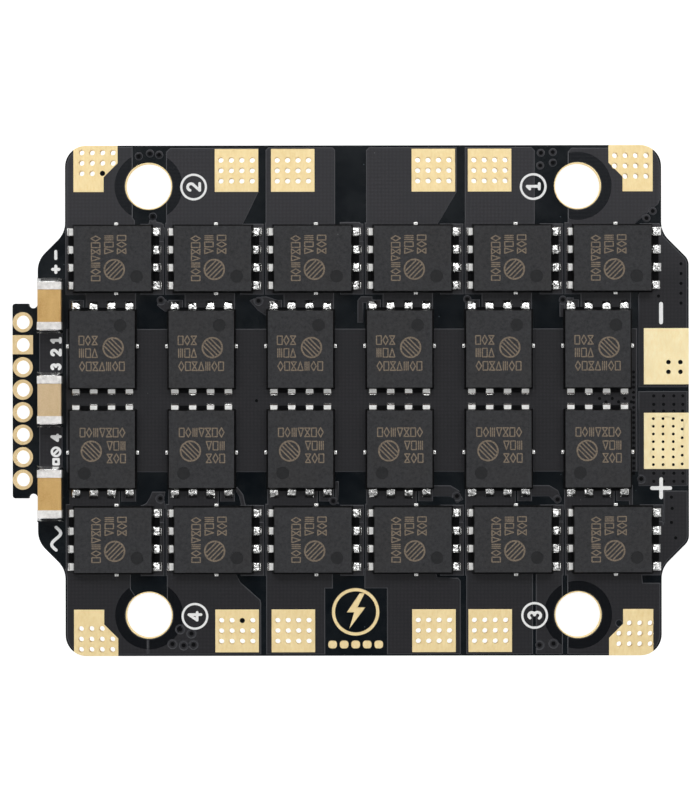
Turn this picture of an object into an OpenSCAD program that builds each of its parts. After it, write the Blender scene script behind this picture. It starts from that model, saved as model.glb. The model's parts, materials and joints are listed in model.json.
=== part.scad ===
// Four-channel electronic speed controller board for a quadcopter.
// Origin: centre of the four mounting holes, on the underside face of the laminate.
// +Z points to the transistor side, +X to the battery pads, -X to the signal tab.
// Channels are numbered as the motors are: 1 is +X+Y, 2 is -X+Y, 3 is +X-Y, 4 is -X-Y.

/* [Board] */
// Distance between mounting holes along X and Y
hole_spacing = 30.5; // [30.5:0.5:31]
// Diameter of a mounting hole inside its plating
mounting_hole_d = 3.2; // [3:0.1:3.6]
// Length of the board along Y
board_length = 36.3; // [36.3:0.1:37.3]
// Width of the board at its motor-pad ends, along X
end_width = 42.4; // [42.4:0.1:43]
// Width of the board across its wings, along X
wing_width = 46.3; // [46.3:0.1:47]
// Thickness of the laminate
board_t = 1.6; // [1:0.1:2.4]
// Radius of the four outer corners
corner_r = 1.5; // [1:0.1:2]
// Radius of the knee at each end of the signal-side wing
signal_knee_r = 1.75; // [0.5:0.05:2]
// Radius of the knee at each end of the battery-side wing
battery_knee_r = 0.9; // [0.5:0.05:2]
// Radius of the hollow where each wing joins an end
waist_r = 1.75; // [1:0.05:2]

/* [Signal tab] */
// How far the tab stands out past the wing
tab_reach = 1.8; // [1.75:0.05:2.2]
// Length of the tab along Y
tab_length = 13.85; // [13.6:0.05:14.2]
// Number of plated signal holes
signal_holes = 8; // [8:1:8]
// Distance between neighbouring signal holes
signal_pitch = 1.6; // [1.5:0.05:1.65]
// Diameter of a finished signal hole
signal_hole_d = 1.0; // [0.8:0.05:1.05]

/* [Solder pads] */
// Thickness of the gold-plated copper pads
pad_t = 0.05; // [0.03:0.01:0.1]
// Width of a rectangular motor pad, along X
motor_pad_w = 3.1; // [2.6:0.1:3.3]
// Length of a motor pad, along Y
motor_pad_l = 3.05; // [2.6:0.05:3.2]
// Distance from the board's middle to the inner motor pads
inner_pad_x = 5.0; // [4.8:0.1:5.2]
// Distance from the board's middle to the outer motor pads
outer_pad_x = 9.0; // [8.9:0.1:9.3]
// Diameter of the open stitching holes in the motor pads
stitch_d = 0.44; // [0.3:0.02:0.5]
// Distance between neighbouring stitching holes
stitch_pitch = 0.74; // [0.7:0.01:0.76]
// Length of a battery pad, along Y
battery_pad_l = 4.0; // [3:0.1:4.2]
// Depth of a battery pad, inwards from the board's edge
battery_pad_w = 3.2; // [2.5:0.05:3.2]

/* [Power transistors] */
// Number of transistor columns
columns = 6; // [6:1:6]
// Column spacing of the low-side rows
low_side_pitch = 7.1; // [7.05:0.01:7.15]
// Column spacing of the high-side rows
high_side_pitch = 7.04; // [7:0.01:7.1]
// Distance from the middle line to the low-side rows
low_side_y = 10.0; // [9.95:0.05:10.1]
// Distance from the middle line to the high-side rows
high_side_y = 3.55; // [3.5:0.05:3.6]
// Length of the moulded body, drain side to source side
mosfet_l = 5.72; // [5.6:0.02:5.8]
// Width of the moulded body
mosfet_w = 4.88; // [4.7:0.02:4.9]
// Height of the moulded body
mosfet_h = 1.0; // [0.8:0.05:1.2]
// Distance between neighbouring leads
lead_pitch = 1.27; // [1.27:0.01:1.27]
// Length over the lead tips, drain side to source side
lead_span = 6.3; // [6.1:0.05:6.5]

/* [Bypass capacitors] */
// Number of large capacitors along the signal side
bypass_count = 3; // [3:1:3]
// Distance between those capacitors
bypass_pitch = 6.68; // [6.5:0.02:7]
// Length, width and height of such a capacitor
bypass_size = [3.4, 1.74, 1.6];

/* [Underside] */
// Side of a microcontroller package
controller_w = 5.0; // [4:0.5:5]
// Side of a gate driver package
driver_w = 4.0; // [3:0.5:4]
// Length, width and height of a bulk capacitor
bulk_size = [3.2, 1.6, 1.5];
// Length, width and height of the current shunt
shunt_size = [6.35, 3.2, 0.65];
// Length, width and height of the gate supply inductor
inductor_size = [4.0, 4.0, 1.4];

/* [Hidden] */
node = "all";
$fn = 48;
eps = 0.01;
end_half = end_width / 2;
wing_half = wing_width / 2;
board_half = board_length / 2;
hole_half = hole_spacing / 2;
plating_t = 0.08;           // wall of a mounting hole's plating, which ends level with the pads
signal_ring_w = 0.22;       // how far a signal hole's ring shows beyond its hole
square_ring = [1.46, 1.36]; // size of the square ring that marks the second signal hole
knee_y = 10.0;              // where a wing's edge would meet its 45 degree slope
waist_y = knee_y + wing_half - end_half;
tab_half = tab_length / 2;
tab_x = wing_half + tab_reach;
tab_corner_r = 0.2;
notch_r = 0.33;             // relief notch where the tab joins the wing
signal_x = -(tab_x - 0.73); // line of the signal holes
tan_eighth = tan(22.5);     // tangent length of a fillet on a 45 degree bend, per radius

motor_pad_gap = 0.25;       // board edge to a rectangular motor pad
motor_pad_y = board_half - motor_pad_gap - motor_pad_l / 2;
corner_pad = [17.45, 20.6]; // inner and outer edge of a corner motor pad
corner_chamfer = 1.0;       // its cut beside the mounting hole
corner_step = 1.05;         // where that cut starts, from the pad's inner edge
// Middle of the stitching holes in each channel's corner pad, as distances from the board's middle
corner_stitch = [[19.02, 16.68], [18.9, 16.92], [19.28, 16.6], [18.98, 16.95]];
battery_pad_y = [3.12, -2.9]; // middle of the negative and of the positive pad
power_via_d = 0.32;         // blocked vias in the negative pad
power_vias = [for (x = [21.7, 22.55], y = [2.01, 2.7]) [x, y]];
rail_via_d = 0.2;           // blocked vias in the positive pad, the outer column staggered
rail_vias = concat(
    [for (x = [20.62, 21.31, 22.04], i = [0:6]) [x, -1.32 - 0.545 * i]],
    [for (i = [0:5]) [22.67, -1.44 - 0.62 * i]]);

copper_h = 0.25;            // thickness of a transistor's lead frame
draft = 0.13;               // how far the moulded sides lean in
lead_w = 0.5;
drain_slug = [4.1, 3.9];    // exposed drain plate, along and across the package
slug_x = -0.3;              // middle of that plate
source_lead_in = 2.12;      // inner end of the source and gate leads
tie_bar = [0.23, 0.28, 2.58]; // position, width and half span of the cut tie bars
dimple = [1.7, -1.27, 0.45];// position and radius of the pin-one mark
dimple_depth = 0.03;

low_side_x0 = -17.79;       // middle of the first column, low side
high_side_x0 = -18.54;      // middle of the first column, high side
rows_y = 0.1;               // the rows lie this far to the +Y side of the board's middle line
bypass_x = -22.28;
bypass_y0 = 0.08;           // middle capacitor's position along Y
cap_end = 0.55;             // length of a large capacitor's end cap
cap_wall = 0.04;            // how much thicker an end cap is than the ceramic

controller_pins = 8;        // contacts on each side of a package
driver_pins = 6;
pin_pitch = 0.5;
pin_w = 0.24;
pin_l = 0.42;
pin_h = 0.2;
standoff = 0.03;            // gap between a leadless package and the board
leadless_h = 0.8;
leadless_dimple = [0.7, 0.25]; // distance from two sides and radius of a leadless package's pin-one mark
controller_plate = 3.2;     // side of the bare plate under a package
driver_plate = 2.6;
controller_at = [13.4, 8.0];
driver_at = [6.5, 9.0];

phases = ["a", "b", "c"];
channels = [1, 2, 3, 4];
// Which way each channel lies from the middle of the board, as signs of X and Y
function side_of(channel) = [channel % 2 == 1 ? 1 : -1, channel <= 2 ? 1 : -1];
// Column of a channel's phase, counted from -X
function column_of(channel, phase) = (side_of(channel).x < 0 ? 0 : columns / 2) + phase;

// Underside small parts of one channel: [x, y, turned a quarter]
gate_resistors = [for (i = [0:5]) [3.1 + 1.36 * i, 12.6, true]];
divider_resistors = [for (i = [0:5]) [9.7, 5.6 + 1.0 * i, false]];
boot_capacitors = [for (i = [0:2]) [3.0, 7.4 + 1.5 * i, false]];
decoupling_capacitors = [[17.0, 6.6, true], [17.0, 8.1, true], [17.0, 9.6, true]];
chip_end_share = 0.22;      // share of a small chip part's length in each terminal
resistor_size = [1.0, 0.5, 0.35];
boot_size = [1.6, 0.8, 0.8];
decoupling_size = [1.0, 0.5, 0.5];
bulk_x = [2.4, 6.5, 10.6, 14.7];
bulk_y = 3.5;
shunt_at = [16.6, 0];
sense_amplifier_at = [10.0, 0];
logic_regulator_at = [-6.5, 0];
gate_regulator_at = [-11.6, 0];
inductor_at = [-16.9, 0];
supply_capacitors = [[-19.9, 3.6, true], [-19.9, -3.6, true], [-3.2, 0, true], [3.4, 0, true]];

MOSFET_NODES = [
    for (side = ["low_side", "high_side"]) for (c = channels) for (p = phases) str(side, "_mosfet_", c, p)
];
NODES = concat(
    ["circuit_board", "motor_pads", "battery_pad_negative", "battery_pad_positive",
     "signal_hole_rings", "mounting_hole_plating"],
    MOSFET_NODES,
    [for (c = channels) str("lead_frames_", c)],
    [for (i = [1:bypass_count]) str("bypass_capacitor_", i)],
    ["bypass_capacitor_ends"],
    [for (c = channels) str("microcontroller_", c)],
    [for (c = channels) str("gate_driver_", c)],
    ["leadless_contacts", "bulk_capacitors", "bulk_capacitor_ends", "shunt_resistor", "shunt_terminals",
     "current_sense_amplifier", "logic_regulator", "gate_supply_regulator", "gate_supply_inductor",
     "regulator_leads", "chip_resistors", "chip_capacitors", "chip_terminals"]);

// ---------- shapes that repeat ----------

function arc(centre, r, from, to, steps = 8) =
    [for (i = [0:steps]) let (a = from + (to - from) * i / steps) centre + r * [cos(a), sin(a)]];

function mirror_x(points) = [for (i = [len(points) - 1:-1:0]) [-points[i].x, points[i].y]];
function mirror_y(points) = [for (i = [len(points) - 1:-1:0]) [points[i].x, -points[i].y]];

// One quarter of the outline, from the wing's edge round to the end's edge, for +X and +Y
function quarter_outline(knee_r) = concat(
    arc([wing_half - knee_r, knee_y - knee_r * tan_eighth], knee_r, 0, 45),
    arc([end_half + waist_r, waist_y + waist_r * tan_eighth], waist_r, 225, 180),
    arc([end_half - corner_r, board_half - corner_r], corner_r, 0, 90, 12));

// The upper half of the signal tab, from the wing outwards
tab_outline = concat(
    arc([-wing_half - notch_r, tab_half], notch_r, 0, -180, 12),
    arc([-tab_x + tab_corner_r, tab_half - tab_corner_r], tab_corner_r, 90, 180, 4));

upper_outline = concat(
    quarter_outline(battery_knee_r), mirror_x(quarter_outline(signal_knee_r)), tab_outline);

module outline() {
    polygon(concat(upper_outline, mirror_y(upper_outline)));
}

module at_four_corners(x, y) {
    for (sx = [-1, 1]) for (sy = [-1, 1]) translate([sx * x, sy * y, 0]) children();
}

// Draws a +X+Y shape in the quarter of one channel
module in_quarter(c) {
    mirror([side_of(c).x < 0 ? 1 : 0, 0, 0]) mirror([0, side_of(c).y < 0 ? 1 : 0, 0]) children();
}

module in_each_quarter() {
    for (c = channels) in_quarter(c) children();
}

// Draws a shape that stands on +Z so that it hangs from the underside face
module on_underside() {
    mirror([0, 0, 1]) children();
}

module box(size) {
    translate([-size.x / 2, -size.y / 2, 0]) cube(size);
}

module turned_at(place) {
    translate([place.x, place.y, 0]) rotate([0, 0, place.z ? 90 : 0]) children();
}

// A moulded block whose four sides lean in by lean over its height
module moulded_block(length, width, height, lean) {
    intersection() {
        rotate([90, 0, 0]) linear_extrude(width, center = true)
            polygon([[-length / 2, 0], [length / 2, 0], [length / 2 - lean, height], [-length / 2 + lean, height]]);
        rotate([90, 0, 90]) linear_extrude(length, center = true)
            polygon([[-width / 2, 0], [width / 2, 0], [width / 2 - lean, height], [-width / 2 + lean, height]]);
    }
}

// ---------- board ----------

// Three rows of four stitching holes; the corner pads' cut leaves no room for the first of the last row
module stitch_grid(middle, whole) {
    for (i = [-1.5:1:1.5]) for (j = [-1:1:1])
        if (whole || i > -1.5 || j > -1)
            translate([middle.x + i * stitch_pitch, middle.y + j * stitch_pitch, -1])
                cylinder(d = stitch_d, h = board_t + 2, $fn = 16);
}

module stitch_holes() {
    for (c = channels) in_quarter(c) {
        stitch_grid([inner_pad_x, motor_pad_y], true);
        stitch_grid([outer_pad_x, motor_pad_y], true);
        stitch_grid(corner_stitch[c - 1], false);
    }
}

function signal_y(i) = ((signal_holes - 1) / 2 - i) * signal_pitch;

module circuit_board() {
    color([0.09, 0.1, 0.11]) difference() {
        linear_extrude(board_t) outline();
        at_four_corners(hole_half, hole_half)
            translate([0, 0, -1]) cylinder(d = mounting_hole_d + 2 * plating_t, h = board_t + 2);
        for (i = [0:signal_holes - 1])
            translate([signal_x, signal_y(i), -1]) cylinder(d = signal_hole_d, h = board_t + 2);
        stitch_holes();
    }
}

// Draws a flat pad on the top face and its twin on the underside face
module on_both_faces() {
    translate([0, 0, board_t]) linear_extrude(pad_t) children();
    translate([0, 0, -pad_t]) linear_extrude(pad_t) children();
}

module corner_pad_shape() {
    inner_y = motor_pad_y - motor_pad_l / 2;
    intersection() {
        polygon([
            [corner_pad[0], board_half],
            [corner_pad[0], inner_y + corner_step + corner_chamfer],
            [corner_pad[0] + corner_chamfer, inner_y + corner_step],
            [corner_pad[0] + corner_chamfer, inner_y],
            [corner_pad[1], inner_y],
            [corner_pad[1], board_half]]);
        outline();
    }
}

module motor_pads() {
    color([0.93, 0.78, 0.45]) difference() {
        on_both_faces() in_each_quarter() {
            for (x = [inner_pad_x, outer_pad_x])
                translate([x, motor_pad_y]) square([motor_pad_w, motor_pad_l], center = true);
            corner_pad_shape();
        }
        stitch_holes();
    }
}

module battery_pad(y, vias, via_d) {
    color([0.93, 0.78, 0.45]) difference() {
        on_both_faces() translate([wing_half - battery_pad_w / 2, y])
            square([battery_pad_w, battery_pad_l], center = true);
        for (via = vias) translate([via.x, via.y, -1]) cylinder(d = via_d, h = board_t + 2, $fn = 16);
    }
}

// A flat ring on each face round every signal hole, the second one square
module signal_hole_rings() {
    color([0.93, 0.78, 0.45]) on_both_faces() for (i = [0:signal_holes - 1])
        translate([signal_x, signal_y(i)]) difference() {
            if (i == 1) square(square_ring, center = true);
            else circle(d = signal_hole_d + 2 * signal_ring_w);
            circle(d = signal_hole_d);
        }
}

module mounting_hole_plating() {
    bore_r = mounting_hole_d / 2;
    color([0.93, 0.78, 0.45]) at_four_corners(hole_half, hole_half) difference() {
        translate([0, 0, -pad_t]) cylinder(r = bore_r + plating_t, h = board_t + 2 * pad_t);
        translate([0, 0, -1]) cylinder(r = bore_r, h = board_t + 2);
    }
}

// ---------- power transistors, drawn with the source leads towards +X ----------

module lead_row(from_x, to_x) {
    for (i = [-1.5:1:1.5])
        translate([from_x, i * lead_pitch - lead_w / 2, 0]) cube([to_x - from_x, lead_w, copper_h]);
}

module lead_frame() {
    slug_left = slug_x - drain_slug.x / 2;
    union() {
        translate([slug_x, 0, 0]) box([drain_slug.x, drain_slug.y, copper_h]);
        lead_row(-lead_span / 2, slug_left + eps);
        translate([tie_bar[0], 0, 0]) box([tie_bar[1], 2 * tie_bar[2], copper_h]);
    }
    lead_row(source_lead_in, lead_span / 2);
}

module mosfet_body() {
    color([0.2, 0.2, 0.22]) difference() {
        moulded_block(mosfet_l, mosfet_w, mosfet_h, draft);
        translate([dimple[0], dimple[1], mosfet_h - dimple_depth]) cylinder(r = dimple[2], h = 1);
        lead_frame();
    }
}

// Low-side packages lie along X, high-side packages stand along Y with their drains to the middle
module low_side_at(c, phase) {
    translate([low_side_x0 + low_side_pitch * column_of(c, phase), rows_y + side_of(c).y * low_side_y, board_t])
        children();
}

module high_side_at(c, phase) {
    translate([high_side_x0 + high_side_pitch * column_of(c, phase), rows_y + side_of(c).y * high_side_y, board_t])
        rotate([0, 0, side_of(c).y * 90]) children();
}

module lead_frames(c) {
    color([0.85, 0.85, 0.83]) for (phase = [0:2]) {
        low_side_at(c, phase) lead_frame();
        high_side_at(c, phase) lead_frame();
    }
}

// ---------- two-ended chip parts, drawn along X ----------

module ceramic_body(size) {
    box([size.x - 2 * cap_wall, size.y - 2 * cap_wall, size.z - 2 * cap_wall]);
}

module ceramic_ends(size, end) {
    for (s = [-1, 1]) difference() {
        translate([s * (size.x - end) / 2, 0, 0]) box([end, size.y, size.z]);
        translate([0, 0, cap_wall]) ceramic_body(size);
    }
}

module bypass_at(i) {
    translate([bypass_x, bypass_y0 + (2 - i) * bypass_pitch, board_t]) rotate([0, 0, 90]) children();
}

module bypass_capacitor(i) {
    color([0.72, 0.57, 0.35]) bypass_at(i) translate([0, 0, cap_wall]) ceramic_body(bypass_size);
}

module bypass_capacitor_ends() {
    color([0.88, 0.87, 0.85]) for (i = [1:bypass_count]) bypass_at(i) ceramic_ends(bypass_size, cap_end);
}

module bulk_positions() {
    on_underside() for (x = bulk_x) at_four_corners(x, bulk_y) children();
}

module bulk_capacitors() {
    color([0.72, 0.57, 0.35]) bulk_positions() translate([0, 0, cap_wall]) ceramic_body(bulk_size);
}

module bulk_capacitor_ends() {
    color([0.88, 0.87, 0.85]) bulk_positions() ceramic_ends(bulk_size, cap_end);
}

// A small chip part: the middle is the body and the two ends are its terminals
module chip_middle(size) {
    box([size.x * (1 - 2 * chip_end_share), size.y, size.z]);
}

module chip_ends(size) {
    for (s = [-1, 1]) translate([s * size.x * (1 - chip_end_share) / 2, 0, 0])
        box([size.x * chip_end_share, size.y, size.z]);
}

module at_resistors() {
    on_underside() in_each_quarter() for (place = concat(gate_resistors, divider_resistors))
        turned_at(place) children();
}

module at_boot_capacitors() {
    on_underside() in_each_quarter() for (place = boot_capacitors) turned_at(place) children();
    on_underside() for (place = supply_capacitors) turned_at(place) children();
}

module at_decoupling_capacitors() {
    on_underside() in_each_quarter() for (place = decoupling_capacitors) turned_at(place) children();
}

module chip_resistors() {
    color([0.12, 0.12, 0.13]) at_resistors() chip_middle(resistor_size);
}

module chip_capacitors() {
    color([0.7, 0.55, 0.36]) {
        at_boot_capacitors() chip_middle(boot_size);
        at_decoupling_capacitors() chip_middle(decoupling_size);
    }
}

module chip_terminals() {
    color([0.85, 0.85, 0.83]) {
        at_resistors() chip_ends(resistor_size);
        at_boot_capacitors() chip_ends(boot_size);
        at_decoupling_capacitors() chip_ends(decoupling_size);
    }
}

// ---------- leadless packages ----------

module leadless_pins(width, pins) {
    for (turn = [0:3]) rotate([0, 0, 90 * turn])
        for (i = [0:pins - 1])
            translate([width / 2 - pin_l + eps, (i - (pins - 1) / 2) * pin_pitch - pin_w / 2, 0])
                cube([pin_l, pin_w, pin_h]);
}

module leadless_body(width, pins) {
    color([0.16, 0.16, 0.17]) difference() {
        translate([0, 0, standoff]) box([width, width, leadless_h]);
        leadless_pins(width, pins);
        translate([-width / 2 + leadless_dimple[0], width / 2 - leadless_dimple[0],
                   standoff + leadless_h - dimple_depth])
            cylinder(r = leadless_dimple[1], h = 1);
    }
}

module at_controller(c) {
    on_underside() translate([side_of(c).x * controller_at.x, side_of(c).y * controller_at.y, 0]) children();
}

module at_driver(c) {
    on_underside() translate([side_of(c).x * driver_at.x, side_of(c).y * driver_at.y, 0]) children();
}

module microcontroller(c) {
    at_controller(c) leadless_body(controller_w, controller_pins);
}

module gate_driver(c) {
    at_driver(c) leadless_body(driver_w, driver_pins);
}

module leadless_contacts() {
    color([0.85, 0.85, 0.83]) for (c = channels) {
        at_controller(c) {
            leadless_pins(controller_w, controller_pins);
            box([controller_plate, controller_plate, standoff]);
        }
        at_driver(c) {
            leadless_pins(driver_w, driver_pins);
            box([driver_plate, driver_plate, standoff]);
        }
    }
}

// ---------- power supply and current sensing ----------

regulator_body = [2.9, 1.6, 1.0];
regulator_lift = 0.1;       // gap between its body and the board
regulator_draft = 0.08;
regulator_pitch = 0.95;     // distance between its leads
regulator_lead_w = 0.4;
// Outline of a bent lead, leaving a body's side at y = 0 and standing on z = 0
bent_lead_outline = [
    [0, 0.45], [0.14, 0.45], [0.26, 0.13], [0.6, 0.13], [0.6, 0], [0.17, 0], [0.05, 0.32], [0, 0.32]];
shunt_end = 1.4;            // length of a shunt's terminal along X
shunt_gap = 0.1;            // gap between its element and the board
shunt_step = 0.05;          // how much lower its terminals are

module regulator(place) {
    color([0.16, 0.16, 0.17]) on_underside() translate([place.x, place.y, regulator_lift])
        moulded_block(regulator_body.x, regulator_body.y, regulator_body.z, regulator_draft);
}

module bent_lead() {
    rotate([90, 0, 90]) linear_extrude(regulator_lead_w, center = true) polygon(bent_lead_outline);
}

module regulator_leads() {
    side_y = regulator_body.y / 2 - 2 * eps;
    color([0.85, 0.85, 0.83]) on_underside()
        for (place = [sense_amplifier_at, logic_regulator_at, gate_regulator_at])
            translate([place.x, place.y, 0])
                for (s = [-1, 1]) mirror([0, s < 0 ? 1 : 0, 0])
                    for (i = [-1:1]) translate([i * regulator_pitch, side_y, 0]) bent_lead();
}

module shunt_resistor() {
    color([0.1, 0.12, 0.11]) on_underside() translate([shunt_at.x, shunt_at.y, shunt_gap])
        box([shunt_size.x - 2 * shunt_end, shunt_size.y, shunt_size.z - shunt_gap]);
}

module shunt_terminals() {
    color([0.8, 0.72, 0.62]) on_underside() translate([shunt_at.x, shunt_at.y, 0])
        for (s = [-1, 1]) translate([s * (shunt_size.x - shunt_end) / 2, 0, 0])
            box([shunt_end, shunt_size.y, shunt_size.z - shunt_step]);
}

module gate_supply_inductor() {
    color([0.28, 0.28, 0.3]) on_underside() translate([inductor_at.x, inductor_at.y, 0]) box(inductor_size);
}

// ---------- nodes ----------

function wanted(name) = node == "all" || node == name;

if (wanted("circuit_board")) circuit_board();
if (wanted("motor_pads")) motor_pads();
if (wanted("battery_pad_negative")) battery_pad(battery_pad_y[0], power_vias, power_via_d);
if (wanted("battery_pad_positive")) battery_pad(battery_pad_y[1], rail_vias, rail_via_d);
if (wanted("signal_hole_rings")) signal_hole_rings();
if (wanted("mounting_hole_plating")) mounting_hole_plating();
for (c = channels) for (phase = [0:2]) {
    if (wanted(str("low_side_mosfet_", c, phases[phase]))) low_side_at(c, phase) mosfet_body();
    if (wanted(str("high_side_mosfet_", c, phases[phase]))) high_side_at(c, phase) mosfet_body();
}
for (c = channels) {
    if (wanted(str("lead_frames_", c))) lead_frames(c);
    if (wanted(str("microcontroller_", c))) microcontroller(c);
    if (wanted(str("gate_driver_", c))) gate_driver(c);
}
for (i = [1:bypass_count]) if (wanted(str("bypass_capacitor_", i))) bypass_capacitor(i);
if (wanted("bypass_capacitor_ends")) bypass_capacitor_ends();
if (wanted("leadless_contacts")) leadless_contacts();
if (wanted("bulk_capacitors")) bulk_capacitors();
if (wanted("bulk_capacitor_ends")) bulk_capacitor_ends();
if (wanted("shunt_resistor")) shunt_resistor();
if (wanted("shunt_terminals")) shunt_terminals();
if (wanted("current_sense_amplifier")) regulator(sense_amplifier_at);
if (wanted("logic_regulator")) regulator(logic_regulator_at);
if (wanted("gate_supply_regulator")) regulator(gate_regulator_at);
if (wanted("gate_supply_inductor")) gate_supply_inductor();
if (wanted("regulator_leads")) regulator_leads();
if (wanted("chip_resistors")) chip_resistors();
if (wanted("chip_capacitors")) chip_capacitors();
if (wanted("chip_terminals")) chip_terminals();
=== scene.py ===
import json
import math
import random

import bmesh
import bpy
import numpy as np
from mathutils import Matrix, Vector
from mathutils.geometry import delaunay_2d_cdt


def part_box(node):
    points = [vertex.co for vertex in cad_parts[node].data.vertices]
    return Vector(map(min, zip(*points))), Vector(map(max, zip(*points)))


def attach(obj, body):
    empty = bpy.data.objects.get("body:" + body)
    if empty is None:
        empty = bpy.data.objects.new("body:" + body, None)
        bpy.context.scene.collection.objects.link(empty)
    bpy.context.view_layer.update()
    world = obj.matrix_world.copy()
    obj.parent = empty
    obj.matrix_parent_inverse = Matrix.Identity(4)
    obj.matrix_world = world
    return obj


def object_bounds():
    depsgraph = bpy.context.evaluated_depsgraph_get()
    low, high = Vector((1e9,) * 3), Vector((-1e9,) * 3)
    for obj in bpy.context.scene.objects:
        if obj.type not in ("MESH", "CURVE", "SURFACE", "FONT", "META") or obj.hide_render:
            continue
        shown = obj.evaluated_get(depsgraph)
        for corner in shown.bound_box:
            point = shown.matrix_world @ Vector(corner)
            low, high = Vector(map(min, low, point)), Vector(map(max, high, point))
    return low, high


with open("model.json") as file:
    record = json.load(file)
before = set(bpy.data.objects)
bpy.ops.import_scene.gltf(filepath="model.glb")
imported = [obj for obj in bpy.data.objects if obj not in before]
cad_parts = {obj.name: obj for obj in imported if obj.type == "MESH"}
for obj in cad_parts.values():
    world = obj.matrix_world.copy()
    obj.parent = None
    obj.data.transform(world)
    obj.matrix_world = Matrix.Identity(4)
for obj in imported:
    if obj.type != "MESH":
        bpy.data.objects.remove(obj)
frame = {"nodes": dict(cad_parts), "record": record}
cad_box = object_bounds()
nodes = frame["nodes"]
record = frame["record"]

# Lengths in this script are millimetres; MM turns them into the frame's metres.
MM = 0.001
draw = random.Random(41)


def node_box(node):
    """Lowest and highest corner of a CAD node, in millimetres."""
    low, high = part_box(node)
    return low / MM, high / MM


def middle_of(box):
    low, high = box
    return (low + high) / 2


board_low, board_high = node_box("circuit_board")
TOP = board_high.z
BOTTOM = board_low.z
BOARD_HALF = board_high.y
WING_HALF = board_high.x

# -------- flat shapes, as lists of points


# Cosine and sine of each quarter turn
QUARTERS = ((1, 0), (0, 1), (-1, 0), (0, -1))


def rect(x0, y0, x1, y1):
    return [(x0, y0), (x1, y0), (x1, y1), (x0, y1)]


def arc(cx, cy, r, start, stop, steps=8):
    angles = [math.radians(start + (stop - start) * i / steps) for i in range(steps + 1)]
    return [(cx + r * math.cos(a), cy + r * math.sin(a)) for a in angles]


def circle(cx, cy, r, sides=24):
    return arc(cx, cy, r, 0, 360, sides)[:-1]


def ring(cx, cy, outer, inner, sides=32):
    """A ring as one outline, cut open along its start."""
    return arc(cx, cy, outer, 0, 360, sides) + arc(cx, cy, inner, 360, 0, sides)


def capsule(a, b, width, steps=5):
    """A straight stroke with round ends."""
    turn = math.degrees(math.atan2(b[1] - a[1], b[0] - a[0]))
    return arc(*b, width / 2, turn - 90, turn + 90, steps) + arc(*a, width / 2, turn + 90, turn + 270, steps)


def strokes(points, width, steps=5):
    """Round-ended strokes along a line of points."""
    return [capsule(a, b, width, steps) for a, b in zip(points, points[1:])]


def turned(points, quarter_turns=0, x=0.0, y=0.0, mirror=False):
    """Points turned by quarter turns counter-clockwise and moved, mirrored left to right first if asked."""
    c, s = QUARTERS[quarter_turns % 4]
    side = -1 if mirror else 1
    return [(x + side * px * c - py * s, y + side * px * s + py * c) for px, py in points]


def inside(points, polygon):
    """Which points lie in a polygon, by the even-odd rule."""
    x, y = points[:, 0], points[:, 1]
    found = np.zeros(len(points), bool)
    for (x0, y0), (x1, y1) in zip(polygon, polygon[1:] + polygon[:1]):
        if y0 != y1:
            crosses = (y0 > y) != (y1 > y)
            found ^= crosses & (x < (x1 - x0) * (y - y0) / (y1 - y0) + x0)
    return found


def region(add, cut=(), within=None):
    """Points and triangles of the union of the outlines in add, less those in cut, inside one outline."""
    outlines = [*add, *cut, *([within] if within else [])]
    points, edges = [], []
    for outline in outlines:
        first, count = len(points), len(outline)
        points += [Vector(p) for p in outline]
        edges += [(first + i, first + (i + 1) % count) for i in range(count)]
    found = delaunay_2d_cdt(points, edges, [], 0, 1e-5)
    corners = np.array([tuple(p) for p in found[0]])
    triangles = np.array(found[2])
    middles = corners[triangles].mean(1)
    kept = np.zeros(len(middles), bool)
    for outline in add:
        kept |= inside(middles, outline)
    for outline in cut:
        kept &= ~inside(middles, outline)
    if within:
        kept &= inside(middles, within)
    return corners, triangles[kept]


# -------- solid shapes, as (corners, faces)


def plate(shape, low, high, skirt=0.0):
    """A flat closed solid from a region, its shape at high. A skirt leans its sides outwards towards low."""
    corners, triangles = shape[0], shape[1].tolist()
    used = sorted({v for triangle in triangles for v in triangle})
    at = {v: i for i, v in enumerate(used)}
    count = len(used)
    edges = {edge: True for a, b, c in triangles for edge in ((a, b), (b, c), (c, a))}
    border = [(a, b) for a, b in edges if (b, a) not in edges]
    outward = {}
    for a, b in border:
        side = Vector((corners[b][1] - corners[a][1], corners[a][0] - corners[b][0]))
        if side.length > 1e-9:
            for v in (a, b):
                outward.setdefault(v, []).append(side.normalized())
    verts = [(corners[v][0], corners[v][1], high) for v in used]
    for v in used:
        shift = Vector((0.0, 0.0))
        if len(outward.get(v, ())) == 2:
            first, second = outward[v]
            shift = (first + second) / max(0.4, 1 + first.dot(second)) * skirt
        verts.append((corners[v][0] + shift.x, corners[v][1] + shift.y, low))
    faces = []
    for triangle in triangles:
        a, b, c = (at[v] for v in triangle)
        faces += [(a, b, c), (c + count, b + count, a + count)]
    faces += [(at[b], at[a], at[a] + count, at[b] + count) for a, b in border]
    return verts, faces


def joined(parts):
    verts, faces = [], []
    for part_verts, part_faces in parts:
        first = len(verts)
        verts += part_verts
        faces += [tuple(first + i for i in face) for face in part_faces]
    return verts, faces


def placed(part, x=0.0, y=0.0, z=0.0, quarter_turns=0, under=False):
    """A solid turned and moved; under hangs it upside down, seen mirrored through the board."""
    c, s = QUARTERS[quarter_turns % 4]
    up = -1 if under else 1
    verts = [(x + vx * c - vy * s, y + vx * s + vy * c, z + up * vz) for vx, vy, vz in part[0]]
    return verts, [face[::up] for face in part[1]]


def band(a, b, count):
    """Faces between the loops numbered a and b, each of count corners."""
    pairs = [(i, (i + 1) % count) for i in range(count)]
    return [(a * count + i, a * count + j, b * count + j, b * count + i) for i, j in pairs]


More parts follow.
